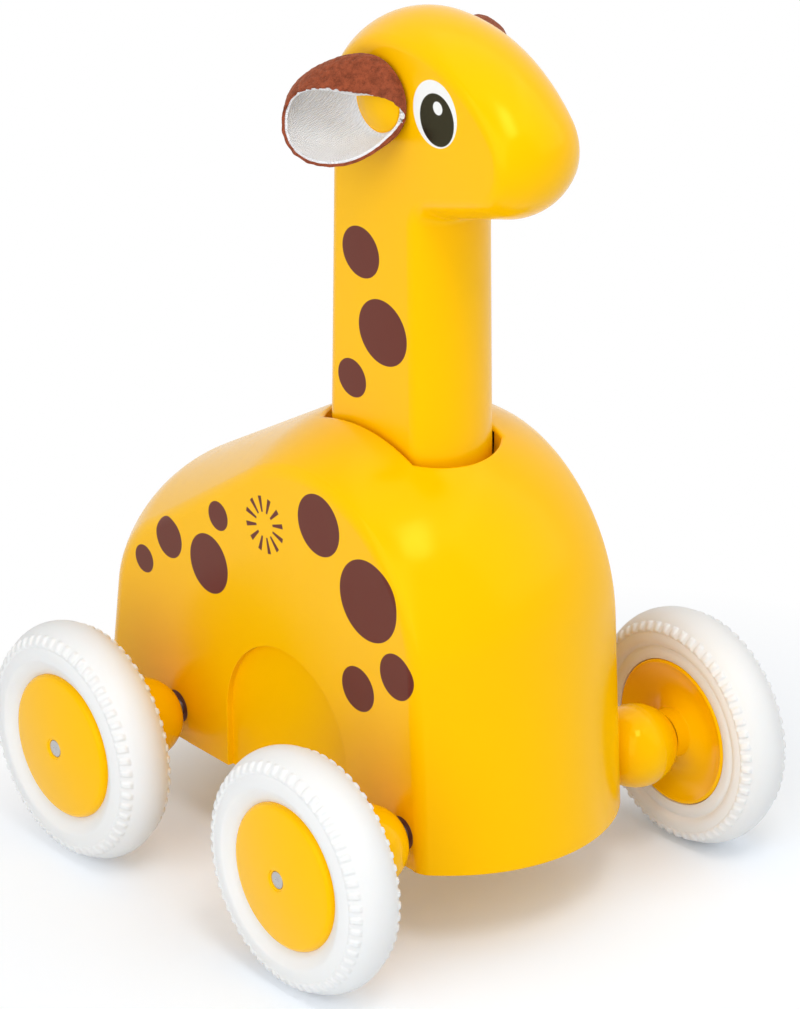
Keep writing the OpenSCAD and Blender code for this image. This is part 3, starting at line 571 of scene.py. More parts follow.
def crownedForm(name, stations, outlineAt):
    # side views skinned across x, with flat sides and a flat underside
    columns = [outlineAt(x) for x in stations]
    rows = len(columns[0]) - 1
    piece = gridPiece(name, len(stations) - 1, rows, lambda i, k: (stations[i], *columns[i][k]))
    for x in (stations[0], stations[-1]):
        selectEdges(piece, lambda edge: all(abs(v.co.x - x * mm) < touch * mm for v in edge.verts))
        bpy.ops.mesh.edge_face_add()
    closeUp(piece)
    return piece


# body: a shell with a dome, a rump, a neck well, arched panels and axle slots
body = {
    "half": (top("body_shell").x - bottom("body_shell").x) / 2,
    "z": bottom("body_shell").z,
    "wall": 2.8, "edge": 4.0, "crown": 10.0, "frontCrown": 10.6, "footR": 8.0,
    "dome": (-6.0, 50.4, 29.9, 7.2),  # y, z, radius on the side, bulge
    "rump": (29.0, 37.6, 20.8, 10.0),
    "frontReach": 5.2, "rearReach": 20.9,
    "archR": 17.0, "archTop": 44.8, "archDepth": 1.2, "slotR": 3.15, "archEdge": 0.15, "footEdge": 0.4,
    "wellHalf": 9.8, "wellFront": -19.3, "wellBack": 5.1, "wellCrown": 4.6, "wellWall": 1.8, "wellZ": 62.3,
    "rim": 0.8, "rimTurn": 28.0, "flare": 1.2,  # the rim rounds off to this angle, then runs straight out
    "toolOver": 1.0,  # how far a cutting tool reaches past the wall
    "sideSharp": 60.0, "footSharp": 50.0,  # edges that turn by more than this are rounded
    # steps across the tread and its edge, along the four arcs and along the straights between them
    "shellSteps": ((15, 9), (6, 18, 56, 6), (6, 12, 20)),
    "hollowSteps": ((8, 4), (3, 9, 28, 3), (3, 6, 10)),
    "archSteps": 48, "slotSteps": 24, "rimSteps": 6, "edgeSteps": 3,
}


def bodyRolls(x, inset):
    half = body["half"] - inset
    share = (half / body["half"]) ** 2
    footR = body["footR"]
    rolls = [(axleY["rear"] + body["rearReach"] - footR, body["z"], footR, body["crown"])]
    rolls += [(y + midY, z, r, rise) for y, z, r, rise in (body["rump"], body["dome"])]
    rolls += [(axleY["front"] - body["frontReach"] + footR, body["z"], footR, body["frontCrown"])]
    return [(y, z, r - inset + rise - rise * share + rollLift(x, half, rise * share, body["edge"]))
            for y, z, r, rise in rolls]


def bodyOutline(x, inset, lowest, arcSteps, spanSteps):
    # side view at x, from the rear foot over the back to the front foot
    rolls = bodyRolls(x, inset)
    turns = [0.0] + [tangentAngle(a, b) for a, b in zip(rolls, rolls[1:])] + [math.pi]
    points = []
    for k, (y, z, radius) in enumerate(rolls):
        arc = arcLine((y, z), radius, turns[k], turns[k + 1], arcSteps[k])
        if points:
            points += zip(*[spaced(a, b, spanSteps[k - 1])[1:-1] for a, b in zip(points[-1], arc[0])])
        points += arc
    if lowest is not None:
        points = [(points[0][0], lowest)] + points + [(points[-1][0], lowest)]
    return points


def domeHeight(x, y):
    cy, cz, r, rise = body["dome"]
    radius = r + rollLift(x, body["half"], rise, body["edge"])
    return cz + math.sqrt(radius ** 2 - (y - cy - midY) ** 2)


def wellOutline(grow, steps=28, sideSteps=14):
    # plan of the neck's opening: flat sides, round front and back
    half, rise = body["wellHalf"] + grow, body["wellCrown"]
    front, back = body["wellFront"] + midY - grow, body["wellBack"] + midY + grow
    big = crownRadius(half, rise)
    swing = math.asin(half / big)
    angles = spaced(-swing, swing, steps)
    ahead = [(big * math.sin(a), front - rise + big - big * math.cos(a)) for a in angles]
    behind = [(-big * math.sin(a), back + rise - big + big * math.cos(a)) for a in angles]
    side = spaced(front, back, sideSteps)[1:-1]
    return ahead + [(half, y) for y in side] + behind + [(-half, y) for y in reversed(side)]


def bodyForm(name, inset, lowest, steps):
    across, arcSteps, spanSteps = steps
    stations = rollStations(body["half"] - inset, body["crown"], body["edge"], *across)
    return crownedForm(name, stations, lambda x: bodyOutline(x, inset, lowest, arcSteps, spanSteps))


def makeBody():
    shell = bodyForm("bodyShell", 0.0, None, body["shellSteps"])
    below = body["z"] - 2 * body["wall"]
    carve(shell, bodyForm("bodyHollow", body["wall"], below, body["hollowSteps"]))
    sleevePlan = wellOutline(body["wellWall"])
    sleeveFoot = [(x, y, body["wellZ"]) for x, y in sleevePlan]
    sleeveTop = [(x, y, domeHeight(x, y) - body["wall"] / 2) for x, y in sleevePlan]
    carve(shell, tubePiece("neckSleeve", [sleeveFoot, sleeveTop]), "UNION")
    carve(shell, openingTool())
    archZ, slotDepth = body["archTop"] - body["archR"], body["wall"] + body["toolOver"]
    for side in sides.values():
        carve(shell, archTool(side, midY, archZ, body["archR"], body["archDepth"], body["archSteps"]))
        for y in axleY.values():
            carve(shell, archTool(side, y, axleZ, body["slotR"], slotDepth, body["slotSteps"]))
    roundEdges(shell, body["archEdge"], body["edgeSteps"], isSideEdge)
    roundEdges(shell, body["footEdge"], body["edgeSteps"], isFootEdge)
    smoothByAngle(shell, 32)
    applyModifier(shell, "WEIGHTED_NORMAL", keep_sharp=True)
    paint(shell, finishes["body"])
    setIn(shell, "base", "body_lacquer", "body_shell")


def openingTool():
    # straight well below, a rounded rim that follows the dome above
    rim, flare, lastTurn = body["rim"], body["flare"], math.radians(body["rimTurn"])
    rings = [[(x, y, body["wellZ"] - body["wall"]) for x, y in wellOutline(0)]]
    for turn in spaced(math.pi / 2, lastTurn, body["rimSteps"]):
        plan = wellOutline(rim * (1 - math.sin(turn)))
        rings.append([(x, y, domeHeight(x, y) - rim * (1 - math.cos(turn))) for x, y in plan])
    plan = wellOutline(rim * (1 - math.sin(lastTurn)) + flare * math.cos(lastTurn))
    lift = flare * math.sin(lastTurn) - rim * (1 - math.cos(lastTurn))
    rings.append([(x, y, domeHeight(x, y) + lift) for x, y in plan])
    rings.append([(x, y, body["dome"][1] + 2 * body["dome"][2]) for x, y in plan])
    return tubePiece("openingTool", rings)


def archTool(side, y, z, radius, depth, steps):
    # a round-topped slab that cuts into a flat side, from the underside up
    foot = body["z"] - body["toolOver"]
    loop = [(y + radius, foot)] + arcLine((y, z), radius, 0, math.pi, steps) + [(y - radius, foot)]
    return tubePiece("archTool", [[(side * x, *point) for point in loop]
                                  for x in (body["half"] - depth, body["half"] + body["toolOver"])])


def isSideEdge(edge):
    # rims of the arched panels and slots, on the flat sides
    onSide = all(abs(abs(v.co.x) - body["half"] * mm) < touch * mm for v in edge.verts)
    return onSide and edge.calc_face_angle(0) > math.radians(body["sideSharp"])


def isFootEdge(edge):
    # the outer edge round the underside
    low = all(abs(v.co.z - body["z"] * mm) < touch * mm for v in edge.verts)
    if not low or edge.calc_face_angle(0) < math.radians(body["footSharp"]):
        return False
    middleOfEdge = (edge.verts[0].co + edge.verts[1].co) / 2
    outwards = Vector((middleOfEdge.x, middleOfEdge.y - midY * mm, 0))
    return any(face.normal.dot(outwards) > 0.3 * outwards.length for face in edge.link_faces)


makeBody()
print("body shell done")


# neck and head: one flat-sided piece, its outline offset inwards towards the sides
neck = {
    "half": (top("neck_head").x - bottom("neck_head").x) / 2,
    "crown": 3.8, "edge": 3.0, "z": bottom("neck_head").z,
    "front": -18.7, "frontTaper": 1.5, "back": 4.9, "backTaper": 1.8, "lowRoll": 56.0, "highRoll": 136.0,
    # arcs of the head from its back over the crest and the brow to the muzzle:
    # y, z, radius, direction of the last normal
    "arcs": [(-9.2, 142.3, 17.0, 45.0), (-13.81, 137.71, 23.52, 88.67), (-14.09, 125.66, 35.56, 139.13),
             (-32.4, 141.51, 11.34, 254.7)],
    "throat": 1.6, "nape": 14.0,
    "across": (9, 9), "arcSteps": (20, 16, 20, 34), "neckSteps": 22, "jawSteps": 8,
    "napeSteps": 6, "throatSteps": 10,
}


def lineMeet(point, direction, other, otherDirection):
    cross = direction.x * otherDirection.y - direction.y * otherDirection.x
    gap = other - point
    return point + direction * ((gap.x * otherDirection.y - gap.y * otherDirection.x) / cross)


def neckOutline():
    # side view on the middle plane, as (y, z, direction of the normal)
    bulge = neck["crown"]
    arcs = [(Vector((y + midY, z)), radius, math.radians(last)) for y, z, radius, last in neck["arcs"]]
    headAt, headR, _ = arcs[0]
    muzzleAt, muzzleR, underTurn = arcs[-1]
    length = neck["highRoll"] - neck["lowRoll"]
    backTurn = math.atan2(neck["backTaper"], length)
    frontTurn = math.pi - math.atan2(neck["frontTaper"], length)

    def normal(turn):
        return Vector((math.cos(turn), math.sin(turn)))

    def alongLine(turn):
        return Vector((-math.sin(turn), math.cos(turn)))

    backFoot = Vector((neck["back"] - neck["edge"] + midY, neck["lowRoll"]))
    backFoot += normal(backTurn) * (neck["edge"] + bulge)
    frontFoot = Vector((neck["front"] + neck["edge"] + midY, neck["lowRoll"]))
    frontFoot += normal(frontTurn) * (neck["edge"] + bulge)
    # hollow fillets at the nape and the throat
    napeLine = backFoot + normal(backTurn) * neck["nape"]
    gap = headAt - napeLine
    up = alongLine(backTurn)
    reach = headR + neck["nape"]
    aside = (gap - up * gap.dot(up)).length_squared
    napeAt = napeLine + up * (gap.dot(up) - math.sqrt(reach ** 2 - aside))
    napeTurn = math.atan2(napeAt.y - headAt.y, napeAt.x - headAt.x)
    throatAt = lineMeet(frontFoot + normal(frontTurn) * neck["throat"], alongLine(frontTurn),
                        muzzleAt + normal(underTurn) * (muzzleR + neck["throat"]), alongLine(underTurn))

    def straight(start, end, turn, steps):
        return [(*point, turn) for point in spaced(start, end, steps)]

    def hollow(centre, radius, start, end, steps):
        return [(*(centre - normal(a) * radius), a) for a in spaced(start, end, steps)]

    def onFloor(foot, turn):
        line = alongLine(turn)
        return foot + line * ((neck["z"] - foot.y) / line.y)

    backTop = napeAt - normal(backTurn) * neck["nape"]
    frontTop = throatAt - normal(frontTurn) * neck["throat"]
    underEnd = throatAt - normal(underTurn) * neck["throat"]
    points = straight(onFloor(backFoot, backTurn), backTop, backTurn, neck["neckSteps"])
    points += hollow(napeAt, neck["nape"], backTurn, napeTurn, neck["napeSteps"])[1:]
    start = napeTurn
    for (centre, radius, last), steps in zip(arcs, neck["arcSteps"]):
        points += arcPoints(centre, radius, start, last, steps)[1:]
        start = last
    points += straight(muzzleAt + normal(underTurn) * muzzleR, underEnd, underTurn, neck["jawSteps"])[1:]
    points += hollow(throatAt, neck["throat"], underTurn, frontTurn, neck["throatSteps"])[1:]
    points += straight(frontTop, onFloor(frontFoot, frontTurn), frontTurn, neck["neckSteps"])[1:]
    return points


def makeNeck():
    middleLine = neckOutline()
    stations = rollStations(neck["half"], neck["crown"], neck["edge"], *neck["across"])

    def outlineAt(x):
        inset = neck["crown"] - rollLift(x, neck["half"], neck["crown"], neck["edge"])
        points = [(y - inset * math.cos(a), z - inset * math.sin(a)) for y, z, a in middleLine]
        points[0], points[-1] = [(p[0], neck["z"]) for p in (points[0], points[-1])]
        return points

    piece = crownedForm("neckAndHead", stations, outlineAt)
    smoothByAngle(piece, 40)
    paint(piece, finishes["neck"])
    setIn(piece, "neck", "wood_lacquer", "neck_head")


makeNeck()
print("neck and head done")


# wheels: modelled once about the x axis with the outer face at +x, then copied to the four corners
tyre = {
    "crown": 22.0, "seat": 13.4, "flangeSeat": 13.72, "flangeEnd": -2.7, "seatEdge": 0.15,
    "outR": 16.2, "outHalf": 5.6, "inR": 17.5, "inHalf": 5.2,  # widest place on the outer and inner side
    "lipTurn": -31.0, "lipDip": 0.4, "lipEdge": 0.1,
    "ringX": -4.65, "ringR": 15.4, "grooveR": 16.1, "grooveDeep": 0.4, "grooveWide": 0.4,
    "teeth": 56, "perTooth": 12, "tip": 0.45, "valley": 0.45, "flankFrom": -0.75, "flankSpan": 1.1,
    "outRow": (36.0, 12.0), "inRow": (29.0, 13.0),  # a row's middle and half its width, in degrees
    "outSteps": 60, "inSteps": 45, "ringSteps": 12,
}
hub = {
    "radius": 13.33, "edge": 1.25, "face": 6.2, "dome": 1.1, "bevel": 0.18,
    "rimX": -4.7, "rim": 13.6, "rimWide": 1.9, "rimEdge": 0.25, "rimStep": 0.3, "lip": 0.6,
    "boss": -4.2, "dish": 1.4, "dishGap": 0.15, "seatIn": 3.55, "seatR": 4.45, "seatX": (-6.33, -6.88),
    "boreGap": 0.02, "pinGap": 0.35, "pinRecess": 0.27,
    "around": 96, "edgeSteps": 8, "faceSteps": 12, "dishSteps": 14, "bevelSharp": 28.0, "bevelSteps": 3,
}
ball = {"radius": 7.6, "bore": 1.75, "boreEdge": 0.2, "flat": 2.3, "around": 72, "arcSteps": 40}
axle = {
    "radius": 1.6, "chamfer": 0.25, "soft": 0.075, "around": 32,
    "dimple": [(0, 0.12), (0.3, 0.1), (0.5, 0)],  # radius and depth of its points
}


def tyreProfile():
    # round outside with a lip that dips to the hub; inside a flat ring, a groove and a bulge
    outRise, inRise = tyre["crown"] - tyre["outR"], tyre["crown"] - tyre["inR"]
    points = []
    for a in map(math.radians, spaced(tyre["lipTurn"], 90, tyre["outSteps"])):
        low = 1 + tyre["lipDip"] * min(math.sin(a), 0)
        points.append((tyre["outR"] + outRise * math.sin(a), tyre["outHalf"] * math.cos(a) * low))
    for a in map(math.radians, spaced(90, 0, tyre["inSteps"])[1:]):
        points.append((tyre["inR"] + inRise * math.sin(a), -tyre["inHalf"] * math.cos(a)))
    ringX, flange, edge = tyre["ringX"], tyre["flangeSeat"], tyre["seatEdge"]
    steps = tyre["ringSteps"]
    for radius, a in list(zip(spaced(tyre["inR"], tyre["ringR"], steps), spaced(0, math.pi, steps)))[1:]:
        share = (1 - math.cos(a)) / 2
        groove = tyre["grooveDeep"] * math.exp(-((radius - tyre["grooveR"]) / tyre["grooveWide"]) ** 2)
        points.append((radius, -tyre["inHalf"] + (ringX + tyre["inHalf"]) * share + groove))
    return points + [(flange + edge, ringX), (flange, ringX + edge), (flange, tyre["flangeEnd"]),
                     (tyre["seat"], tyre["flangeEnd"]), (tyre["seat"], points[0][1] - tyre["lipEdge"])]


def makeTyre():
    piece = turnedPiece("tyre", tyreProfile(), tyre["teeth"] * tyre["perTooth"])
    # fine rounded teeth stand out of both shoulders, square to the surface
    for point in piece.data.vertices:
        x, y, z = point.co / mm
        radius = math.hypot(y, z)
        side = "out" if x > 0 else "in"
        half, widest = tyre[side + "Half"], tyre[side + "R"]
        rise = tyre["crown"] - widest
        turn = math.atan2((radius - widest) / rise, abs(x) / half)
        place, width = tyre[side + "Row"]
        off = (math.degrees(turn) - place) / width
        if radius < tyre["inR"] or abs(off) >= 1:
            continue
        wave = math.cos(tyre["teeth"] * math.atan2(z, y))
        tooth = min(max((wave - tyre["flankFrom"]) / tyre["flankSpan"], 0), 1)
        tooth = tooth * tooth * (3 - 2 * tooth)
        height = (1 - off ** 4) * (tooth * (tyre["tip"] + tyre["valley"]) - tyre["valley"])
        normal = Vector((math.cos(turn) / half, math.sin(turn) / rise)).normalized() * height
        stretch = (radius + normal.y) / radius
        point.co = Vector((x + math.copysign(normal.x, x), y * stretch, z * stretch)) * mm
    smoothByAngle(piece, 55)
    paint(piece, finishes["tyre"])
    return piece


def hubProfile():
    # dished inside with a seat for the ball and a thin rim, domed outside
    edge, boss, rim, rimX, rimEdge = [hub[key] for key in ("edge", "boss", "rim", "rimX", "rimEdge")]
    bore, recess = axle["radius"] + hub["boreGap"], axle["radius"] + hub["pinGap"]
    cornerR, rimEnd = hub["radius"] - edge, rimX + hub["rimWide"]

    def domeX(radius):
        return hub["face"] - hub["dome"] * (radius / cornerR) ** 2

    lean = math.atan2(2 * hub["dome"], cornerR)
    endR = cornerR + edge * math.sin(lean)
    corner = (cornerR, domeX(endR) - edge * math.cos(lean))
    rounded = arcLine(corner, edge, 0, math.pi / 2 - lean, hub["edgeSteps"])
    slope = [(r, domeX(r)) for r in spaced(endR, recess, hub["faceSteps"])[1:]]
    dishR = spaced(hub["seatR"] + hub["dishGap"], rim - 2 * hub["lip"], hub["dishSteps"])
    dishTurn = spaced(0, math.pi, hub["dishSteps"])
    dish = [(r, boss + hub["dish"] * math.sin(a)) for r, a in zip(dishR, dishTurn)]
    seat = [(bore, boss), (hub["seatIn"], boss), (hub["seatIn"], hub["seatX"][0]),
            (hub["seatR"], hub["seatX"][1])]
    rimLine = [(rim - hub["lip"], rimX), (rim - rimEdge, rimX), (rim, rimX + rimEdge),
               (rim, rimEnd - hub["rimStep"]), (hub["radius"], rimEnd)]
    floor = hub["face"] - hub["pinRecess"]
    return seat + dish + rimLine + rounded + slope + [(recess, floor), (bore, floor)]


def makeHub():
    piece = turnedPiece("hub", hubProfile(), hub["around"])
    applyModifier(piece, "BEVEL", width=hub["bevel"] * mm, segments=hub["bevelSteps"], limit_method="ANGLE",
                  angle_limit=math.radians(hub["bevelSharp"]), use_clamp_overlap=True)
    smoothByAngle(piece, 40)
    paint(piece, finishes["plain"])
    return piece


def makeBall():
    radius, bore, edge = ball["radius"], ball["bore"], ball["boreEdge"]
    start = math.asin(ball["flat"] / radius)
    end = radius * math.cos(start)
    arc = [(radius * math.sin(a), -radius * math.cos(a))
           for a in spaced(start, math.pi - start, ball["arcSteps"])]
    profile = arc + [(bore + edge, end), (bore, end - edge), (bore, edge - end), (bore + edge, -end)]
    piece = turnedPiece("ball", profile, ball["around"])
    smoothByAngle(piece, 40)
    paint(piece, finishes["ball"])
    return piece


def makeAxle(end):
    far, radius, chamfer, soft = top(axleNodes[end]).x, axle["radius"], axle["chamfer"], axle["soft"]
    half = [(r, far - deep) for r, deep in axle["dimple"]]
    half += [(radius - chamfer, far), (radius - soft, far - soft), (radius, far - chamfer)]
    profile = half + [(r, -x) for r, x in reversed(half)]
    piece = turnedPin(end + "Axle", profile, axle["around"], finishes["steel"], (0, axleY[end], axleZ))
    setIn(piece, end + "_wheels", "steel", axleNodes[end])


def makeWheels():
    kinds = {"tyre": (makeTyre(), "tyre_white"), "hub": (makeHub(), "body_lacquer"),
             "ball": (makeBall(), "wood_lacquer")}
    for kind, (model, slot) in kinds.items():
        for end in axleNodes:
            for side, sign in sides.items():
                node = f"{end}_{kind}_{side}"
                lead = node if kind == "ball" else f"{end}_tyre_{side}"  # a hub sits where its tyre is
                place = (middle(lead).x, axleY[end], axleZ)
                piece = copyTo(model, f"{end}{kind.title()}{side.title()}", place, sign < 0)
                setIn(piece, end + "_wheels", slot, node)
        bpy.data.meshes.remove(model.data)
    for end in axleNodes:
        makeAxle(end)


makeWheels()
print("wheels done")


# ears: round cuts of suede with a twill lining, pinned near the front edge and curled into a cup
ear = {
    "suedeThick": 0.5, "liningThick": 0.45, "holeR": 2.6,
    # round the peg from the rear over the top: direction, end of the flat part, middle (radius, out), rim
    "lines": [(0, 7.1, (11.65, 8.35), (9.05, 13.4)), (45, 6.9, (9.1, 6.0), (4.7, 10.3)),
              (90, 6.4, (7.2, 2.8), (2.7, 7.2)), (125, 5.9, (7.0, 1.8), (2.7, 4.7)),
              (150, 5.9, (6.95, 1.5), (3.7, 3.4)), (170, 5.9, (6.95, 0.9), (6.1, 2.2)),
              (195, 5.9, (6.4, 0.2), (6.9, 0.6)), (225, 5.9, (6.9, 0.75), (8.2, 4.7)),
              (270, 6.4, (7.95, 2.2), (9.75, 10.4)), (315, 6.9, (10.95, 6.25), (11.0, 13.9))],
    "around": 200, "flatSteps": 8, "curlSteps": 36, "cut": 0.0288, "leftTurn": 22.0,
    "ragged": 0.3, "raggedScale": 9.0, "liningRagged": 0.4, "liningShow": 0.4, "suedeShow": 0.1,
    "fuzz": 0.10, "fuzzScales": [(1.6, 1.0), (3.7, 0.5)], "fuzzAlong": (0.4, 0.3, 0.6),
}
peg = {
    "headR": 5.6, "headWide": 1.2, "dome": 14.0, "edge": 0.4, "seatEdge": 0.15,
    "shankR": 2.2, "depth": 5.0, "footEdge": 0.3, "earRoom": 1.0, "gap": 0.15,
    "around": 64, "faceSteps": 10, "edgeSteps": 6,
}


def hermite(start, end, leave, arrive, t):
    # a smooth curve from start to end that leaves and arrives as told
    return (start * (2 * t ** 3 - 3 * t * t + 1) + leave * (t ** 3 - 2 * t * t + t)
            + end * (3 * t * t - 2 * t ** 3) + arrive * (t ** 3 - t * t))


def earLine(a):
    # flat end, middle and rim in a direction, on smooth curves through the given lines
    lines, count = ear["lines"], len(ear["lines"])
    turn = math.degrees(a) % 360
    k = max(i for i in range(count) if lines[i][0] <= turn)
    near = [lines[(k + i) % count] for i in (-1, 0, 1, 2)]
    at = [lines[(k + i) % count][0] + 360 * ((k + i) // count) for i in (-1, 0, 1, 2)]
    span = at[2] - at[1]
    t = (turn - at[1]) / span

    def blend(v):
        leave, arrive = [(v[i + 1] - v[i - 1]) * (span / (at[i + 1] - at[i - 1])) for i in (1, 2)]
        return hermite(v[1], v[2], leave, arrive, t)

    flat = blend([Vector((line[1], 0)) for line in near])
    mid, rim = [blend([Vector(line[i]) for line in near]) for i in (2, 3)]
    return flat, mid, rim


def earProfile(a):
    # a smooth line from the hole to the rim, as (radius, standing-out) points
    flat, mid, rim = earLine(a)
    leave = Vector(((mid - flat).length, 0))
    through = (rim - flat) / 2
    arrive = 2 * (rim - mid) - through
    points = [Vector((radius, 0)) for radius in spaced(ear["holeR"], flat.x, ear["flatSteps"])[:-1]]
    for t in spaced(0, 2, ear["curlSteps"]):
        points.append(hermite(flat, mid, leave, through, t) if t <= 1
                      else hermite(mid, rim, through, arrive, t - 1))
    return points


def makeEarLayer(name, sign, lift, thick, isSuede):
    at = middle("ear_peg_left")
    headX = neck["half"] + peg["gap"]
    turned = math.radians(ear["leftTurn"]) if sign > 0 else 0
    profiles = [earProfile(2 * math.pi * i / ear["around"] - turned) for i in range(ear["around"])]
    rows = len(profiles[0]) - 1
    rowLengths = [list(accumulate([(q - p).length for p, q in zip(line, line[1:])], initial=ear["holeR"]))
                  for line in profiles]

    def place(i, k):
        i %= ear["around"]
        a = 2 * math.pi * i / ear["around"]
        line = profiles[i]
        along = line[min(k + 1, rows)] - line[max(k - 1, 0)]
        inwards = Vector((-along.y, along.x)).normalized()
        p = line[k] + inwards * lift
        if k == rows:
            # the lining shows past the suede above, the suede past the lining below
            ragged = noise.noise(Vector((math.cos(a), math.sin(a), 0)) * ear["raggedScale"]) * ear["ragged"]
            upper = max(math.sin(a), 0) ** 0.5
            if isSuede:
                spare = ragged + ear["suedeShow"] * (1 - upper)
            else:
                spare = ear["liningRagged"] * ragged + ear["liningShow"] * upper - ear["suedeShow"]
            p = p + along.normalized() * spare
        return sign * (headX + p.y), at.y + p.x * math.cos(a), at.z + p.x * math.sin(a)

    piece = gridPiece(name, ear["around"], rows, place)
    layer = piece.data.uv_layers[0]  # the grid's own map becomes the flat cut
    layer.name = "flatCut"
    for loop in piece.data.loops:
        row, column = divmod(loop.vertex_index, ear["around"] + 1)
        a = 2 * math.pi * column / ear["around"]
        far = rowLengths[column % ear["around"]][row] * mm
        layer.data[loop.index].uv = (far * math.cos(a), far * math.sin(a))
    closeUp(piece, isFilled=False)
    # the wall grows towards the inside of the cup
    inside = piece.data.polygons[0].normal.x * sign
    applyModifier(piece, "SOLIDIFY", thickness=thick * mm, offset=1 if inside > 0 else -1)
    if isSuede:
        for point in piece.data.vertices:
            pull = sum(noise.noise(point.co / mm * scale) * share for scale, share in ear["fuzzScales"])
            x, y, z = ear["fuzzAlong"]
            point.co += Vector((sign * x, y, z)) * pull * ear["fuzz"] * mm
    smoothByAngle(piece, 60)
    return piece


def makeEar(side):
    sign = sides[side]
    outside = makeEarLayer(f"ear{side.title()}", sign, 0.0, ear["suedeThick"], True)
    lining = makeEarLayer(f"earLining{side.title()}", sign, ear["suedeThick"], ear["liningThick"], False)
    paint(outside, finishes["suede"])
    paint(lining, finishes["twill"])
    setIn(outside, "neck", "ear_felt", f"ear_{side}")
    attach(lining, "neck")


def makePeg(side):
    start, edge, seatEdge, footEdge = neck["half"], peg["edge"], peg["seatEdge"], peg["footEdge"]
    headR, shankR, foot = peg["headR"], peg["shankR"], start - peg["depth"]
    seat = start + peg["earRoom"] + 2 * peg["gap"]
    crownAt = seat + peg["headWide"]

    def domeX(radius):
        return crownAt - peg["dome"] + math.sqrt(peg["dome"] ** 2 - radius ** 2)

    face = [(r, domeX(r)) for r in spaced(0, headR - edge, peg["faceSteps"])]
    sideX = face[-1][1]
    rounding = [(headR - edge + edge * math.sin(a), sideX - edge + edge * math.cos(a))
                for a in spaced(0, math.pi / 2, peg["edgeSteps"])[1:]]
    profile = face + rounding + [
        (headR, seat + seatEdge), (headR - seatEdge, seat), (shankR, seat),
        (shankR, foot + footEdge), (shankR - footEdge, foot), (0, foot)]
    at = middle(f"ear_peg_{side}")
    piece = turnedPin(f"earPeg{side.title()}", profile, peg["around"], finishes["plain"], (0, at.y, at.z),
                      sides[side] < 0)
    setIn(piece, "neck", "wood_lacquer", f"ear_peg_{side}")


for side in sides:
    makeEar(side)
    makePeg(side)
print("ears done")


# return spring: a coil that shortens as the neck is pressed
spring = {"radius": 4.6, "wire": 0.45, "wireSides": 12, "turns": 9, "steps": 28}


def makeSpring():
    low, high = bottom("return_spring"), top("return_spring")
    at = middle("return_spring")
    span = high.z - low.z - 2 * spring["wire"]
    deselectAll()
    bpy.ops.mesh.primitive_circle_add(vertices=spring["wireSides"], radius=spring["wire"] * mm,
                                      rotation=(math.pi / 2, 0, 0), location=(spring["radius"] * mm, 0, 0))
    piece = nameNew("returnSpring")
    bpy.ops.object.transform_apply(location=True, rotation=True, scale=True)
    applyModifier(piece, "SCREW", axis="Z", angle=2 * math.pi, iterations=spring["turns"],
                  screw_offset=span / spring["turns"] * mm, steps=spring["steps"],
                  render_steps=spring["steps"], use_merge_vertices=False)
    piece.location = Vector((at.x, at.y, low.z + spring["wire"])) * mm
    pickOnly(piece)
    bpy.ops.object.transform_apply(location=True, rotation=True, scale=True)
    closeUp(piece)
    smoothByAngle(piece, 40)
    paint(piece, finishes["steel"])
    setIn(piece, "base", "steel", "return_spring")
    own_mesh(piece)


makeSpring()
print("spring done")

# nodes that keep their own shape
dressed = {
    "plain": ["base_plate"],
    "steel": ["base_screws", "frame_screws", "plunger_screws", "pinion_pin", "idler_pin"],
    "nylon": ["gear_frame_left", "gear_frame_right", "plunger_rack", "clutch_hub"],
    "bush": ["front_bush_left", "front_bush_right", "rear_bush_left", "rear_bush_right"],
    "red": ["compound_gear"], "blue": ["idler_gear"], "amber": ["drive_gear"],
}
for finish, names in dressed.items():
    for name in names:
        paint(frame["nodes"][name], finishes[finish])
print("nodes dressed:", sum(len(names) for names in dressed.values()))

# floor, light and camera; the floor and the room are white to the camera, to mirrors and through glass
stage = {
    "floor": 1.6, "floorLift": 0.12, "world": 0.41, "lampAim": (0, 0, 0.07),
    "whiteAt": (0.012, -0.012), "whiteStretch": 0.8, "whiteSpan": (0.045, 0.1),
    "floorSockets": {"Base Color": (0.83, 0.88, 0.94, 1), "Roughness": 0.8, "Specular IOR Level": 0.1,
                     "Emission Color": (1, 1, 1, 1)},
}
lamps = {
    "key": {"at": (0.42, -0.5, 0.55), "size": (0.8, 0.8), "power": 1.65},
    "top": {"at": (0.05, -0.05, 0.9), "size": (0.9, 0.9), "power": 1.8},
    "fill": {"at": (-0.72, -0.3, 0.33), "size": (0.9, 0.9), "power": 4.25},
    "glint": {"at": (-0.2, -0.42, 0.76), "size": (0.2, 0.26), "power": 1.35},
}
camera = {
    "turn": -39.2, "height": 23.7, "far": 882.2, "focus": (3.05, 0.0, 65.78),
    "pixels": 5000.0, "frame": 1009, "sensor": 36, "clip": (0.01, 20),
}


def seenRays(tree):
    rays = addNode(tree, "LightPath")
    kinds = [rays.outputs[f"Is {kind} Ray"] for kind in ("Camera", "Glossy", "Transmission")]
    return calc(tree, "MAXIMUM", calc(tree, "MAXIMUM", kinds[0], kinds[1]), kinds[2])


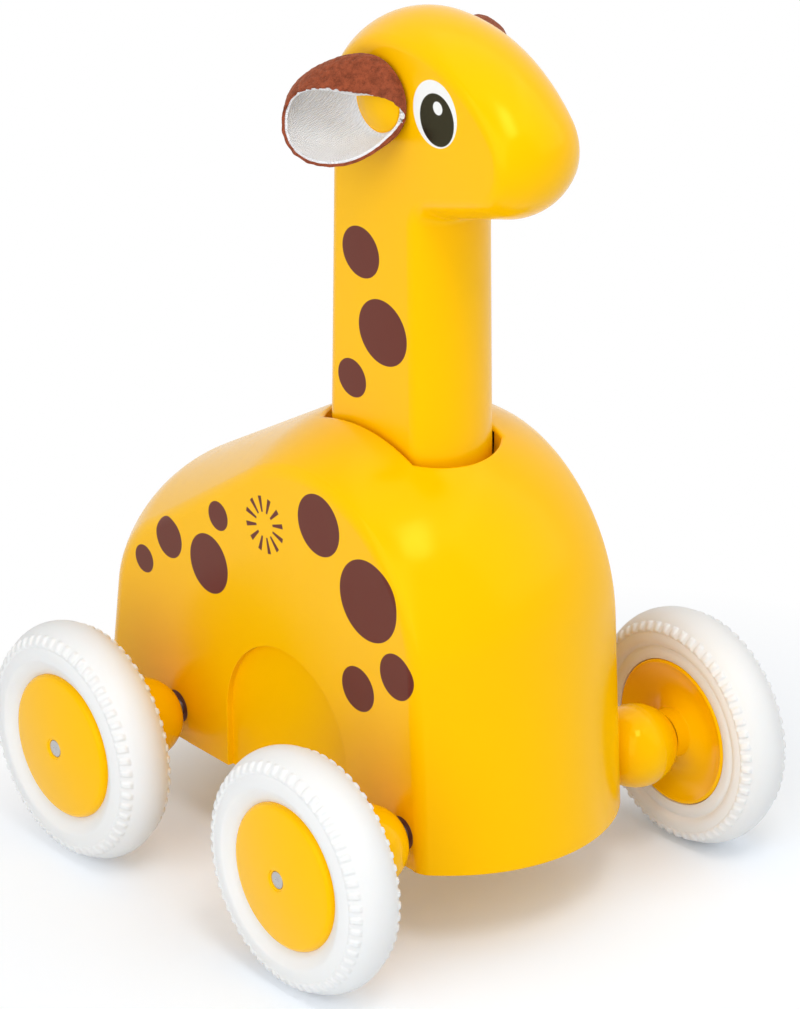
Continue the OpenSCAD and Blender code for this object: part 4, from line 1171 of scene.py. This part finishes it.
def makeFloor():
    # pale and plain: it keeps the toy's shadow and is seen as white away from it
    deselectAll()
    bpy.ops.mesh.primitive_plane_add(size=stage["floor"], location=(0, 0, 0))
    floor = nameNew("studioFloor")
    material, tree, shader, coords = newFinish("paleFloor")
    setSockets(tree, shader, stage["floorSockets"])
    seen = seenRays(tree)
    stretch, (x, y) = stage["whiteStretch"], stage["whiteAt"]
    fromMiddle = vectorCalc(tree, "MULTIPLY_ADD", coords, (stretch, 1, 0), (-stretch * x, -y, 0))
    far = vectorCalc(tree, "LENGTH", fromMiddle, output="Value")
    away = calc(tree, "MULTIPLY", ramp(tree, far, *stage["whiteSpan"]), seen)
    white = addNode(tree, "Emission")
    lit = addNode(tree, "MixShader", away, shader.outputs["BSDF"], white.outputs["Emission"])
    tree.links.new(lit.outputs["Shader"], tree.nodes["Material Output"].inputs["Surface"])
    plug(tree, shader.inputs["Emission Strength"], calc(tree, "MULTIPLY", seen, stage["floorLift"]))
    paint(floor, material)


def turnTowards(thing, direction):
    thing.rotation_mode = "QUATERNION"
    thing.rotation_quaternion = direction.to_track_quat("-Z", "Y")


def makeLamp(name, lamp):
    deselectAll()
    bpy.ops.object.light_add(type="AREA", location=lamp["at"])
    light = bpy.context.active_object
    light.name = name + "Softbox"
    light.data.shape = "RECTANGLE"
    light.data.size, light.data.size_y = lamp["size"]
    light.data.energy = lamp["power"]
    turnTowards(light, Vector(stage["lampAim"]) - light.location)


def makeWorld():
    world = bpy.data.worlds.new("paleRoom")
    bpy.context.scene.world = world
    world.use_nodes = True
    tree = world.node_tree
    sky = tree.nodes["Background"]
    sky.inputs["Color"].default_value = (1, 1, 1, 1)
    tree.links.new(ramp(tree, seenRays(tree), 0, 1, stage["world"], 1.0), sky.inputs["Strength"])


def makeCamera():
    turn, height = math.radians(camera["turn"]), math.radians(camera["height"])
    level = math.cos(height)
    back = Vector((math.sin(turn) * level, -math.cos(turn) * level, math.sin(height)))
    x, y, z = camera["focus"]
    deselectAll()
    bpy.ops.object.camera_add(location=(Vector((x, y + midY, z)) + back * camera["far"]) * mm)
    view = bpy.context.active_object
    view.name = "photoCamera"
    turnTowards(view, -back)
    view.data.sensor_width = camera["sensor"]
    view.data.lens = camera["pixels"] * camera["sensor"] / camera["frame"]
    view.data.clip_start, view.data.clip_end = camera["clip"]
    bpy.context.scene.camera = view


makeFloor()
for name, lamp in lamps.items():
    makeLamp(name, lamp)
makeWorld()
makeCamera()
bpy.context.scene.view_settings.view_transform = "Standard"
print("stage done")
